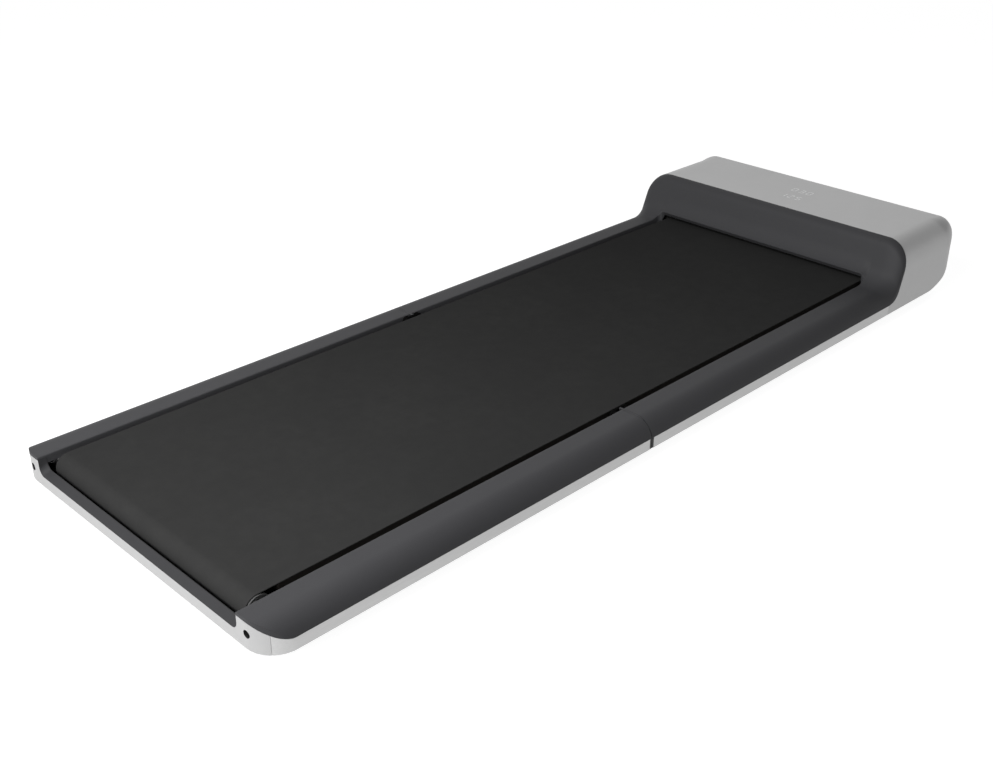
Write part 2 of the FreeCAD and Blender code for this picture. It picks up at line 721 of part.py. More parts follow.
def belt(half, roller_x):
    """Half of the walking belt: a band over the deck, round its roller and back below."""
    seam = along(half, -OVERRUN)

    def loop(radius):
        run = box(seam, roller_x, -BELT_HALF, BELT_HALF, ROLLER_Z - radius, ROLLER_Z + radius)
        return run.fuse(rod_y(-BELT_HALF, BELT_HALF, roller_x, ROLLER_Z, radius))

    return loop(BELT_OUTER_RADIUS).cut(loop(BELT_INNER_RADIUS)).removeSplitter().cut(seam_trim(half))


def deck_end(half):
    """X of a deck's end at its roller, clear of the rear roller's travel."""
    if half == FRONT:
        return DRIVE_X - ROLLER_RADIUS - DECK_ROLLER_GAP
    return REAR_X + ROLLER_RADIUS + TENSION_TRAVEL + DECK_ROLLER_GAP


def ledge_end(half):
    return RAIL_STOP_X if half == FRONT else REAR_FRAME_X


def pad_places(half):
    """Where the deck's pads and screws stand on the left ledge."""
    start = along(half, HINGE_ZONE)
    return [(start + share * (ledge_end(half) - start), DECK_HALF - PAD_INSET) for share in PAD_SHARES]


def deck_screws(half):
    """Countersunk screws down through deck, pad and ledge."""
    screws = []
    for x, y in pad_places(half):
        shank = rod_z(LEDGE_Z - LEDGE_THICK, DECK_Z, x, y, SCREW_RADIUS)
        head = Part.makeCone(
            SCREW_RADIUS, SCREW_HEAD_RADIUS, SCREW_HEAD_HEIGHT,
            Vector(x, y, DECK_Z - SCREW_HEAD_HEIGHT), Vector(0, 0, 1),
        )
        screw = fused([shank, head])
        screws += [screw, mirrored(screw)]
    return Part.makeCompound(screws)


def deck(half, screws):
    near = along(half, -OVERRUN)
    board = box(near, deck_end(half), -DECK_HALF, DECK_HALF, DECK_Z - DECK_THICK, DECK_Z)
    return cut(board, [seam_trim(half), screws])


def deck_pads(half, screws):
    """Rubber pads under the deck, on the ledges and on the beam at the seam."""
    low, high = LEDGE_Z, DECK_Z - DECK_THICK
    pads = []
    for x, y in pad_places(half):
        pads += [rod_z(low, high, x, side * y, PAD_RADIUS) for side in (1, -1)]
    beam_x = along(half, BEAM_SETBACK + BEAM_WIDTH / 2)
    pads += [rod_z(low, high, beam_x, side * DECK_HALF / 2, PAD_RADIUS) for side in (1, -1)]
    return Part.makeCompound([pad.cut(screws) for pad in pads])


def beam(x, half_length, top):
    """Square steel tube across the pad, inside the belt's loop."""
    wide = BEAM_WIDTH / 2
    tube = box(x - wide, x + wide, -half_length, half_length, BEAM_Z, top)
    wide -= BEAM_WALL
    return tube.cut(box(x - wide, x + wide, -half_length, half_length, BEAM_Z + BEAM_WALL, top - BEAM_WALL))


def beams(half):
    """One tube between the hinge brackets and two under the ledges."""
    start = along(half, HINGE_ZONE)
    tubes = [beam(along(half, BEAM_SETBACK + BEAM_WIDTH / 2), BRACKET_Y, LEDGE_Z)]
    for share in BEAM_SHARES:
        tubes.append(beam(start + share * (ledge_end(half) - start), FIN_Y, LEDGE_Z - LEDGE_THICK))
    return Part.makeCompound(tubes)


def pan_screw_places(half):
    start = along(half, 0)
    return [
        (start + share * (ledge_end(half) - start), HALF_WIDTH - SCREW_INSET) for share in PAN_SCREW_SHARES
    ]


def pan_screws(half):
    """Screws up through the pan's flange into the rails."""
    seat = RAIL_Z - PAN_SHEET
    screws = []
    for x, y in pan_screw_places(half):
        shank = rod_z(seat, RAIL_Z + RAIL_WALL, x, y, SCREW_RADIUS)
        head = rod_z(seat - SCREW_HEAD_HEIGHT, seat, x, y, SCREW_HEAD_RADIUS)
        screw = fused([shank, head])
        screws += [screw, mirrored(screw)]
    return Part.makeCompound(screws)


def pan(half, end_x, flange_x, screws):
    """Steel tray under one half, with a flange that carries the rails."""
    near = along(half, SEAM_GAP)
    seat = RAIL_Z - PAN_SHEET
    tray = box(near, end_x, -PAN_HALF, PAN_HALF, FOOT_HEIGHT, RAIL_Z)
    room = PAN_HALF - PAN_SHEET
    inside = box(
        near + half * PAN_SHEET, end_x - half * PAN_SHEET, -room, room, PAN_FLOOR, RAIL_Z + OVERRUN,
    )
    plate = box(near, flange_x, -HALF_WIDTH, HALF_WIDTH, seat, RAIL_Z)
    plate = plate.common(plan_block(FLANGE_INSET))
    return cut(fused([tray, plate]), [inside, screws])


def foot_places(half, end_x):
    y = HALF_WIDTH - FOOT_INSET
    return [(x, side * y) for x in (along(half, FOOT_SEAM_SET), end_x) for side in (1, -1)]


def feet(half, end_x):
    return Part.makeCompound(
        [rod_z(0, FOOT_HEIGHT, x, y, FOOT_RADIUS) for x, y in foot_places(half, end_x)]
    )


def roller_tube(x):
    half = BELT_HALF + ROLLER_OVERHANG
    tube = rod_y(-half, half, x, ROLLER_Z, ROLLER_RADIUS)
    return tube.cut(rod_y(-half, half, x, ROLLER_Z, ROLLER_RADIUS - ROLLER_WALL))


def drive_roller():
    """Tube with two end plates welded to a through shaft."""
    half = BELT_HALF + ROLLER_OVERHANG
    inner = ROLLER_RADIUS - ROLLER_WALL
    plate = rod_y(half - ROLLER_END_WALL, half, DRIVE_X, ROLLER_Z, inner)
    shaft = rod_y(-half - SHAFT_OVERHANG, half + SHAFT_OVERHANG, DRIVE_X, ROLLER_Z, SHAFT_RADIUS)
    return fused([roller_tube(DRIVE_X), plate, mirrored(plate), shaft])


def pulley(x, z, radius, bore):
    """Plain bored drive pulley."""
    y0, y1 = PULLEY_Y, PULLEY_Y + PULLEY_WIDTH
    return rod_y(y0, y1, x, z, radius).cut(rod_y(y0, y1, x, z, bore))


def drive_belt():
    """Belt round both pulleys: their outer tangents and wraps."""
    y0 = PULLEY_Y + DRIVE_BELT_INSET
    y1 = PULLEY_Y + PULLEY_WIDTH - DRIVE_BELT_INSET
    run = Vector(MOTOR_X - DRIVE_X, 0, MOTOR_Z - ROLLER_Z)
    facing = math.atan2(run.z, run.x)
    spread = math.acos((DRIVEN_RADIUS - DRIVER_RADIUS) / run.Length)

    def hull(extra):
        big, small = DRIVEN_RADIUS + extra, DRIVER_RADIUS + extra
        corners = []
        for sign in (1, -1):
            turn = facing + sign * spread
            tangents = [
                (DRIVE_X + big * math.cos(turn), ROLLER_Z + big * math.sin(turn)),
                (MOTOR_X + small * math.cos(turn), MOTOR_Z + small * math.sin(turn)),
            ]
            corners += tangents if sign == 1 else tangents[::-1]
        rounds = [rod_y(y0, y1, DRIVE_X, ROLLER_Z, big), rod_y(y0, y1, MOTOR_X, MOTOR_Z, small)]
        return fused([prism_y(sharp(*corners), y0, y1)] + rounds)

    return hull(SOFT_GAP + DRIVE_BELT_THICK).cut(hull(SOFT_GAP))


def bearing_block():
    """Left block on the pan's flange that carries the drive roller's shaft."""
    y0 = PULLEY_Y + BEARING_BLOCK_SET
    y1 = y0 + BEARING_BLOCK_WIDTH
    wide = BEARING_BLOCK_LENGTH / 2
    top = ROLLER_Z + SHAFT_RADIUS + BEARING_BLOCK_CROWN
    block = box(DRIVE_X - wide, DRIVE_X + wide, y0, y1, RAIL_Z, top)
    return block.cut(rod_y(y0, y1, DRIVE_X, ROLLER_Z, SHAFT_RADIUS + FIT))


def motor_housing():
    """Round can with two end walls, hollow for its rotor."""
    y0, y1 = MOTOR_END_Y - MOTOR_LENGTH, MOTOR_END_Y
    can = rod_y(y0, y1, MOTOR_X, MOTOR_Z, MOTOR_RADIUS)
    room = rod_y(y0 + MOTOR_WALL, y1 - MOTOR_WALL, MOTOR_X, MOTOR_Z, MOTOR_RADIUS - MOTOR_WALL)
    bore = rod_y(y0, y1, MOTOR_X, MOTOR_Z, MOTOR_SHAFT_RADIUS + FIT)
    return cut(can, [room, bore])


def motor_rotor():
    """Armature on a shaft that reaches through the pulley."""
    y0 = MOTOR_END_Y - MOTOR_LENGTH
    core = rod_y(y0 + ROTOR_END_GAP, MOTOR_END_Y - ROTOR_END_GAP, MOTOR_X, MOTOR_Z, ROTOR_RADIUS)
    shaft = rod_y(y0, PULLEY_Y + PULLEY_WIDTH, MOTOR_X, MOTOR_Z, MOTOR_SHAFT_RADIUS)
    return fused([core, shaft])


def motor_mount():
    """Saddle that holds the motor up from the pan."""
    wide = MOUNT_LENGTH / 2
    mid = MOTOR_END_Y - MOTOR_LENGTH / 2
    y0, y1 = mid - MOUNT_WIDTH / 2, mid + MOUNT_WIDTH / 2
    saddle = box(MOTOR_X - wide, MOTOR_X + wide, y0, y1, PAN_FLOOR, PAN_FLOOR + MOUNT_RISE)
    return saddle.cut(rod_y(y0, y1, MOTOR_X, MOTOR_Z, MOTOR_RADIUS))


def control_board():
    """Board on four posts with a row of capacitors."""
    x0, x1 = BOARD_X - BOARD_LENGTH, BOARD_X
    y0, y1 = BOARD_Y, BOARD_Y + BOARD_WIDTH
    top = BOARD_Z + BOARD_THICK
    parts = [box(x0, x1, y0, y1, BOARD_Z, top)]
    for x in (x0 + POST_INSET, x1 - POST_INSET):
        parts += [rod_z(PAN_FLOOR, BOARD_Z, x, y, POST_RADIUS) for y in (y0 + POST_INSET, y1 - POST_INSET)]
    for index in range(CAPACITOR_COUNT):
        y = y0 + CAPACITOR_PITCH * (index + 1)
        x = x0 + CAPACITOR_RADIUS + POST_INSET
        parts.append(rod_z(top, top + CAPACITOR_HEIGHT, x, y, CAPACITOR_RADIUS))
    return fused(parts)


def heat_sink():
    """Finned block on the control board."""
    x0, x1 = BOARD_X - BOARD_LENGTH + SINK_INSET, BOARD_X - SINK_INSET
    y1 = BOARD_Y + BOARD_WIDTH - SINK_INSET
    y0 = y1 - SINK_WIDTH
    z = BOARD_Z + BOARD_THICK
    step = (SINK_WIDTH - SINK_FIN) / (SINK_FIN_COUNT - 1)
    fins = [
        box(x0, x1, y0 + step * index, y0 + step * index + SINK_FIN, z, z + SINK_BASE + SINK_FIN_HEIGHT)
        for index in range(SINK_FIN_COUNT)
    ]
    return fused([box(x0, x1, y0, y1, z, z + SINK_BASE)] + fins)


def inner_cable():
    """Cable from the back of the power inlet down to the control board, with one bend."""
    start = PORT_X - INLET_DEPTH
    drop = BOARD_X - CABLE_DROP_SET
    low = BOARD_Z + BOARD_THICK
    lean = CABLE_BEND * (1 - math.sqrt(0.5))
    corner = Vector(drop, INLET_Y, PORT_Z)
    bend = [
        corner + Vector(CABLE_BEND, 0, 0),
        corner + Vector(lean, 0, -lean),
        corner + Vector(0, 0, -CABLE_BEND),
    ]
    path = Part.Wire([
        Part.LineSegment(Vector(start, INLET_Y, PORT_Z), bend[0]).toShape(),
        Part.Arc(*bend).toShape(),
        Part.LineSegment(bend[2], Vector(drop, INLET_Y, low)).toShape(),
    ])
    ring = Part.makeCircle(CABLE_RADIUS, Vector(start, INLET_Y, PORT_Z), Vector(1, 0, 0))
    return path.makePipeShell([Part.Wire([ring])], True, False)


def power_inlet():
    """Socket let into the head's end wall with three prongs in its pocket."""
    body = port(INLET_Y, INLET_WIDTH, INLET_HEIGHT, INLET_DEPTH, 0)
    rim = 2 * INLET_RIM
    body = body.cut(port(INLET_Y, INLET_WIDTH - rim, INLET_HEIGHT - rim, INLET_POCKET))
    floor = PORT_X - INLET_POCKET
    prongs = []
    for step, rise in ((-1, -PRONG_RISE), (0, PRONG_RISE), (1, -PRONG_RISE)):
        y = INLET_Y + step * PRONG_PITCH
        z = PORT_Z + rise
        prongs.append(box(
            floor, floor + PRONG_LENGTH, y - PRONG_THICK / 2, y + PRONG_THICK / 2,
            z - PRONG_WIDTH / 2, z + PRONG_WIDTH / 2,
        ))
    return fused([body] + prongs)


def rocker_axis():
    """X of the rocker's pivot, which lies at port height."""
    return PORT_X - ROCKER_DEPTH / 2 - ROCKER_DIP


def switch_frame():
    """Frame of the rocker switch with two small bores for its pivot."""
    body = port(SWITCH_Y, SWITCH_WIDTH, SWITCH_HEIGHT, SWITCH_DEPTH, 0)
    rim = 2 * SWITCH_RIM
    room = port(SWITCH_Y, SWITCH_WIDTH - rim, SWITCH_HEIGHT - rim, SWITCH_DEPTH - SWITCH_RIM)
    half = SWITCH_WIDTH / 2
    bore = rod_y(SWITCH_Y - half, SWITCH_Y + half, rocker_axis(), PORT_Z, ROCKER_PIN_RADIUS + FIT)
    return cut(body, [room, bore])


def switch_rocker():
    """Rocker with a shallow dip across its face, on a pivot pin, tilted to its off position."""
    wide = SWITCH_WIDTH / 2 - SWITCH_RIM - ROCKER_GAP
    tall = SWITCH_HEIGHT / 2 - SWITCH_RIM - ROCKER_SWING_GAP
    back = PORT_X - ROCKER_DEPTH - ROCKER_DIP
    face = PORT_X - ROCKER_DIP
    outline = sharp(
        (back, PORT_Z - tall), (face, PORT_Z - tall), (face - ROCKER_DIP, PORT_Z),
        (face, PORT_Z + tall), (back, PORT_Z + tall),
    )
    body = prism_y(outline, SWITCH_Y - wide, SWITCH_Y + wide)
    half = SWITCH_WIDTH / 2 - ROCKER_GAP
    pin = rod_y(SWITCH_Y - half, SWITCH_Y + half, rocker_axis(), PORT_Z, ROCKER_PIN_RADIUS)
    rocker = fused([body, pin])
    rocker.rotate(Vector(rocker_axis(), SWITCH_Y, PORT_Z), Vector(0, 1, 0), ROCKER_TILT_DEGREES)
    return rocker


def wheel():
    """Left transport wheel with two grooves round its tread."""
    y0, y1 = WHEEL_Y - WHEEL_WIDTH / 2, WHEEL_Y + WHEEL_WIDTH / 2
    disc = rod_y(y0, y1, WHEEL_X, WHEEL_LIFT, WHEEL_RADIUS)
    disc = disc.cut(rod_y(y0, y1, WHEEL_X, WHEEL_LIFT, WHEEL_PIN_RADIUS + FIT))
    for side in (1, -1):
        y = WHEEL_Y + side * WHEEL_GROOVE_WIDTH - WHEEL_GROOVE_WIDTH / 2
        ring = rod_y(y, y + WHEEL_GROOVE_WIDTH, WHEEL_X, WHEEL_LIFT, WHEEL_RADIUS)
        core = rod_y(y, y + WHEEL_GROOVE_WIDTH, WHEEL_X, WHEEL_LIFT, WHEEL_RADIUS - WHEEL_GROOVE)
        disc = disc.cut(ring.cut(core))
    return disc


def wheel_bracket():
    """Two cheeks on the pan's end flange with the left wheel's pin riveted between them."""
    start = FRONT_PAN_X
    foot = HALF_LENGTH - END_FOOT_ROUND - CHEEK_FOOT / 2
    nose = WHEEL_X + CHEEK_NOSE
    outline = sharp(
        (start, RAIL_Z), (foot, RAIL_Z), (foot, RAIL_Z + CHEEK_FOOT), (nose, WHEEL_LIFT),
        (nose, WHEEL_LIFT + CHEEK_TOP), (start, WHEEL_LIFT + CHEEK_TOP),
    )
    inner = WHEEL_WIDTH / 2 + WHEEL_GAP
    outer = inner + CHEEK_THICK
    cheeks = [
        prism_y(outline, WHEEL_Y + inner, WHEEL_Y + outer),
        prism_y(outline, WHEEL_Y - outer, WHEEL_Y - inner),
    ]
    pin = rod_y(WHEEL_Y - outer, WHEEL_Y + outer, WHEEL_X, WHEEL_LIFT, WHEEL_PIN_RADIUS)
    return fused(cheeks + [pin])


def tension_bolt():
    """Left bolt along X that draws the rear axle towards the tail."""
    seat = STAND_X
    head = rod_x(seat - BOLT_HEAD_LENGTH, seat, TENSION_Y, ROLLER_Z, BOLT_HEAD_RADIUS)
    shank = rod_x(seat, REAR_X + BOLT_TIP, TENSION_Y, ROLLER_Z, BOLT_RADIUS)
    corners = [
        (TENSION_Y + BOLT_SOCKET_RADIUS * math.cos(math.radians(turn)),
         ROLLER_Z + BOLT_SOCKET_RADIUS * math.sin(math.radians(turn)))
        for turn in range(0, 360, 60)
    ]
    socket = prism_x(sharp(*corners), seat - BOLT_HEAD_LENGTH, seat - BOLT_HEAD_LENGTH + BOLT_SOCKET_DEPTH)
    return fused([head, shank]).cut(socket)


def bolt_hole(x0, x1, clear):
    """Round hole for the left tension bolt."""
    return rod_x(x0, x1, TENSION_Y, ROLLER_Z, BOLT_RADIUS + clear)


def tension_stand():
    """Left stand on the pan's flange: a bed for the axle block and a wall for the bolt's head."""
    y0, y1 = TENSION_Y - STAND_WIDTH / 2, TENSION_Y + STAND_WIDTH / 2
    x0 = STAND_X + FIT
    bed = box(x0, REAR_FRAME_X - STAND_GAP, y0, y1, RAIL_Z, BLOCK_FLOOR)
    wall = box(x0, x0 + STAND_WALL, y0, y1, RAIL_Z, RAIL_Z + STAND_HEIGHT)
    return fused([bed, wall]).cut(bolt_hole(x0, x0 + STAND_WALL, BOLT_HOLE_CLEAR))


def axle_block():
    """Left block that rides on its stand and holds the axle's end."""
    long, tall = BLOCK_LENGTH / 2, BLOCK_HEIGHT / 2
    y0, y1 = TENSION_Y - BLOCK_WIDTH / 2, TENSION_Y + BLOCK_WIDTH / 2
    block = box(REAR_X - long, REAR_X + long, y0, y1, ROLLER_Z - tall, ROLLER_Z + tall)
    tools = [rod_y(y0, y1, REAR_X, ROLLER_Z, AXLE_RADIUS), bolt_hole(REAR_X - long, REAR_X + long, FIT)]
    return cut(block, tools)


def rear_axle():
    """Fixed axle with a cross hole at each end for its bolt."""
    half = TENSION_Y + AXLE_OVERHANG
    axle = rod_y(-half, half, REAR_X, ROLLER_Z, AXLE_RADIUS)
    hole = bolt_hole(REAR_X - AXLE_RADIUS, REAR_X + AXLE_RADIUS, FIT)
    return cut(axle, [hole, mirrored(hole)])


def rear_bearing():
    """Left bearing between the rear roller's tube and its axle."""
    y1 = BELT_HALF + ROLLER_OVERHANG
    y0 = y1 - BEARING_WIDTH
    ring = rod_y(y0, y1, REAR_X, ROLLER_Z, ROLLER_RADIUS - ROLLER_WALL)
    return ring.cut(rod_y(y0, y1, REAR_X, ROLLER_Z, AXLE_RADIUS + FIT))


def half_pieces(half, name, pan_x, flange_x, foot_x):
    """Pieces that both halves have alike."""
    deck_fixings = deck_screws(half)
    pan_fixings = pan_screws(half)
    roller_x = DRIVE_X if half == FRONT else REAR_X
    end_x = RAIL_STOP_X if half == FRONT else -HALF_LENGTH + PLAN_ROUND
    side = cut(rail(half, end_x, ledge_end(half)), [deck_fixings, pan_fixings])
    tray = pan(half, pan_x, flange_x, pan_fixings)
    if half == FRONT:
        slot = rod_y(
            WHEEL_Y - WHEEL_WIDTH / 2 - WHEEL_GAP, WHEEL_Y + WHEEL_WIDTH / 2 + WHEEL_GAP,
            WHEEL_X, WHEEL_LIFT, WHEEL_RADIUS + WHEEL_SLOT_GAP,
        )
        tray = cut(tray, [slot, mirrored(slot)])
    return {
        name + "_left_rail": side,
        name + "_right_rail": mirrored(side),
        name + "_pan": tray,
        name + "_deck": deck(half, deck_fixings),
        name + "_deck_pads": deck_pads(half, deck_fixings),
        name + "_deck_screws": deck_fixings,
        name + "_beams": beams(half),
        name + "_pan_screws": pan_fixings,
        name + "_feet": feet(half, foot_x),
        name + "_belt": belt(half, roller_x),
        name + "_hinge_brackets": pair(hinge_bracket(half)),
        name + "_hinge_pins": pair(hinge_pin(half)),
        name + "_end_caps": pair(end_cap(half)),
    }


def front_pieces():
    skin = front_skin()
    figures = display_figures()
    return {
        "front_cover": front_cover(skin),
        "head_cover": head_cover(skin, figures),
        "display_figures": figures,
        "display_board": display_board(),
        "bearing_blocks": pair(bearing_block()),
        "drive_roller": drive_roller(),
        "driven_pulley": pulley(DRIVE_X, ROLLER_Z, DRIVEN_RADIUS, SHAFT_RADIUS),
        "drive_belt": drive_belt(),
        "motor_housing": motor_housing(),
        "motor_mount": motor_mount(),
        "motor_rotor": motor_rotor(),
        "motor_pulley": pulley(MOTOR_X, MOTOR_Z, DRIVER_RADIUS, MOTOR_SHAFT_RADIUS),
        "control_board": control_board(),
        "heat_sink": heat_sink(),
        "inner_cable": inner_cable(),
        "power_inlet": power_inlet(),
        "switch_frame": switch_frame(),
        "switch_rocker": switch_rocker(),
        "wheel_brackets": pair(wheel_bracket()),
        "left_wheel": wheel(),
        "right_wheel": mirrored(wheel()),
    }


def rear_pieces():
    cover = rear_cover()
    return {
        "rear_left_cover": cover,
        "rear_right_cover": mirrored(cover),
        "tail_cap": tail_cap(),
        "tail_strip": tail_strip(),
        "tension_stands": pair(tension_stand()),
        "rear_axle": rear_axle(),
        "axle_blocks": pair(axle_block()),
        "rear_roller": roller_tube(REAR_X),
        "rear_bearings": pair(rear_bearing()),
        "left_tension_bolt": tension_bolt(),
        "right_tension_bolt": mirrored(tension_bolt()),
    }


def main():
    """Build every piece and write one file for each."""
    pieces = {"hinge_links": pair(hinge_link()), "seam_strips": pair(seam_strip())}
    front_foot = HALF_LENGTH - FOOT_END_SET
    rear_foot = -HALF_LENGTH + FOOT_END_SET
    pieces.update(half_pieces(FRONT, "front", FRONT_PAN_X, HALF_LENGTH - FRONT_FLANGE_STOP, front_foot))
    pieces.update(half_pieces(REAR, "rear", REAR_PAN_X, -HALF_LENGTH + TAIL_LEDGE - FLANGE_LAP, rear_foot))
    pieces.update(front_pieces())
    pieces.update(rear_pieces())
    os.makedirs("parts", exist_ok=True)
    for name, shape in pieces.items():
        shape.exportStep("parts/" + name + ".step")


main()
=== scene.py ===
import math

import bmesh
import bpy
import numpy as np
from mathutils import Matrix, Vector

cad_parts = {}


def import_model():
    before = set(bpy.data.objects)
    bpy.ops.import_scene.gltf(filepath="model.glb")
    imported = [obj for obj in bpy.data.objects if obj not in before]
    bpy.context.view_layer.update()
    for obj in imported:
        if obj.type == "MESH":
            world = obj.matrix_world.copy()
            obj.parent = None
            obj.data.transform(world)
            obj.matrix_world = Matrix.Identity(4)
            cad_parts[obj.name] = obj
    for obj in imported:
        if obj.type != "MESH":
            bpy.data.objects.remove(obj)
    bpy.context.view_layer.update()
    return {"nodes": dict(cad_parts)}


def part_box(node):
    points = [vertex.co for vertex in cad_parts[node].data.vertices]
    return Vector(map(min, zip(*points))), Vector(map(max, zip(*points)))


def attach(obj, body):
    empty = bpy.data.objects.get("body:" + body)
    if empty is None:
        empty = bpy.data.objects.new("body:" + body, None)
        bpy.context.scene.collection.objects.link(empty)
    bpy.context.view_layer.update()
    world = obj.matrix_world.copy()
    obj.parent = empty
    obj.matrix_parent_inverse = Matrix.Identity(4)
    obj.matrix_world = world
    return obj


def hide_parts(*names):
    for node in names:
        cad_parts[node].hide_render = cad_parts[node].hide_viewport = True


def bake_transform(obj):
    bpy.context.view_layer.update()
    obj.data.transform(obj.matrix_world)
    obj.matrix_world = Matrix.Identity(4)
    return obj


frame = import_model()

# Sizes of the pad in millimetres, as the solid model has them
MM = 0.001
HALF_LENGTH, HALF_WIDTH, HEIGHT = 716.0, 265.0, 129.0
SEAM_X, SEAM_GAP, PIN_SPAN, PIN_Z = -103.5, 0.6, 22.0, 53.5
PLAN_ROUND = 38.0
RAIL_Z, RAIL_TOP, COVER_Z = 19.5, 35.0, 58.8
COVER_Y, COVER_WALL, COVER_ROUND, HEAD_ROUND = 212.8, 3.5, 28.0, 42.0
BELT_HALF, BELT_THICK = 202.5, 1.5
ROLLER_Z, BELT_RADIUS, DRIVE_X, REAR_X = 39.2, 18.3, 545.0, -681.5
EDGE_X, EDGE_LEAN, EDGE_ROUND = 548.0, 0.28, 25.0
SLOPE_LEAN, TOE_ROUND, MIDDLE_TOE_ROUND, BROW_ROUND = 0.35, 40.0, 57.0, 18.0
LIP_X, LIP_CORNER, LIP_DROP, LIP_BLEND, LIP_UNDERCUT = 506.5, 6.5, 8.0, 12.0, 4.5
RAIL_STOP_X, WALL_FOOT_Z, NOTCH_Z, NOTCH_X = 500.0, 41.0, 47.2, -650.0
END_TOP_ROUND, END_FOOT_ROUND = 20.0, 44.0
TAIL_WALL, TAIL_BAR_Z, TAIL_FILLET = 3.0, 34.5, 10.0
BORDER_Z, BORDER_RUN, SKIRT = 54.6, 61.0, 2.4
ACCESS_Y, ACCESS_RADIUS = 229.6, 5.0
STRIP_DEPTH, STRIP_RISE, STRIP_SHEET, STRIP_FOOT, LINING_TOP = 11.0, 5.0, 2.5, 24.0, 56.0
HEAD_CLEAR, END_RADIUS_LOSS = 0.15, 20.0
SOLE_X, SOLE_ROUND, SOLE_POWER = 636.0, 40.0, 1.4
SOLE_EASE_X, SOLE_EASE_RUN, SOLE_EASE = 696.0, 20.0, 18.0
PAN_CORNER, CUT_OVER = 24.0, 5.0
PORT_X, PORT_Z = 715.5, 80.0
INLET_Y, INLET_WIDTH, INLET_HEIGHT = -150.0, 27.0, 20.0
SWITCH_Y, SWITCH_WIDTH, SWITCH_HEIGHT = -105.0, 21.0, 22.0
WHEEL_X, WHEEL_Y, WHEEL_Z = 685.0, 200.0, 33.0
WHEEL_RADIUS, WHEEL_WIDTH, SLOT_GAP = 19.0, 16.0, 2.5
FOOT_Y, FRONT_FEET_X, REAR_FEET_X = 190.0, (-63.5, 606.0), (-143.5, -606.0)
JOINT_TURN, JOINT_GAP = math.radians(43), 0.004
BLEND_RUN, BELT_EDGE = 24.0, 0.5

# Places that follow from these sizes
SLOPE_TURN = math.atan2(1, SLOPE_LEAN)
BROW_X = EDGE_X - BROW_ROUND * math.tan(SLOPE_TURN / 2)
SLOPE_FOOT = BROW_X - SLOPE_LEAN * (HEIGHT - COVER_Z)
PIN_REACH = PIN_SPAN / 2 - SEAM_GAP

EDGE_SOFT = 1.4
FRONT, REAR = 1, -1
SHARES = np.linspace(0, 1, 33)


def smooth_step(t):
    """Share from 0 to 1 that starts and ends level: 3 t squared less 2 t cubed."""
    t = np.clip(t, 0, 1)
    return t * t * (3 - 2 * t)


def dense(points, counts):
    """One rising list through the given points, with its own number of steps in each span."""
    spans = [np.linspace(a, b, n, endpoint=False) for a, b, n in zip(points, points[1:], counts)]
    return np.append(np.concatenate(spans), points[-1])


# Meshes from grids of points
def grid_quads(rows, columns, first=0, round_rows=False, round_columns=False):
    """Quads between neighbouring points of a grid, closed round where asked."""
    i = np.arange(rows if round_rows else rows - 1)
    j = np.arange(columns if round_columns else columns - 1)
    i, j = np.meshgrid(i, j, indexing="ij")
    up, across = (i + 1) % rows, (j + 1) % columns
    corners = [i * columns + j, i * columns + across, up * columns + across, up * columns + j]
    return first + np.stack(corners, -1).reshape(-1, 4)


def patch(x, y, z, **rounds):
    """A grid surface as its points, in millimetres, and how it closes."""
    return np.stack(np.broadcast_arrays(x, y, z), -1), rounds


def raw_mesh(name, patches, loops=()):
    """Mesh of several grids whose shared borders are merged, with flat faces over the given loops."""
    points, faces, first = [], [], 0
    for grid, rounds in patches:
        rows, columns = grid.shape[:2]
        points.append(grid.reshape(-1, 3))
        faces.append(grid_quads(rows, columns, first, **rounds))
        first += rows * columns
    faces = np.concatenate(faces).tolist()
    for loop in loops:
        points.append(loop)
        faces.append(list(range(first, first + len(loop))))
        first += len(loop)
    mesh = bpy.data.meshes.new(name)
    mesh.from_pydata((np.concatenate(points) * MM).tolist(), [], faces)
    form = bmesh.new()
    form.from_mesh(mesh)
    bmesh.ops.remove_doubles(form, verts=form.verts, dist=2e-6)
    bmesh.ops.dissolve_degenerate(form, edges=form.edges, dist=1e-6)
    bmesh.ops.recalc_face_normals(form, faces=form.faces)
    form.to_mesh(mesh)
    form.free()
    return mesh


def turn_out(mesh, outside):
    """Turns an open sheet over unless its faces look, on the whole, along the given direction."""
    count = len(mesh.polygons)
    normal, area = np.zeros(count * 3), np.zeros(count)
    mesh.polygons.foreach_get("normal", normal)
    mesh.polygons.foreach_get("area", area)
    if (normal.reshape(-1, 3) * area[:, None]).sum(0) @ np.array(outside) < 0:
        mesh.flip_normals()


def turn_out_closed(mesh):
    """Makes the faces of a closed band look outwards."""
    form = bmesh.new()
    form.from_mesh(mesh)
    bmesh.ops.recalc_face_normals(form, faces=form.faces)
    form.to_mesh(mesh)
    form.free()


def soften(mesh, degrees=38):
    """Smooth shading, with a crease where faces meet at more than the angle."""
    mesh.polygons.foreach_set("use_smooth", np.ones(len(mesh.polygons), bool))
    mesh.set_sharp_from_angle(angle=math.radians(degrees))
    mesh.update()


def add_object(name, mesh, finish):
    """Object at the origin with the mesh and its finish."""
    piece = bpy.data.objects.new(name, mesh)
    bpy.context.scene.collection.objects.link(piece)
    mesh.materials.append(finish)
    return piece


def stand_for(piece, body, node):
    """Lets a finished piece ride on its body in place of a solid, which it hides."""
    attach(piece, body)
    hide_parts(node)
    return piece


def settle(piece):
    """Makes the modified shape the piece's own mesh and leaves no modifier on it."""
    ready = piece.evaluated_get(bpy.context.evaluated_depsgraph_get())
    mesh = bpy.data.meshes.new_from_object(ready)
    piece.modifiers.clear()
    piece.data = mesh
    return piece


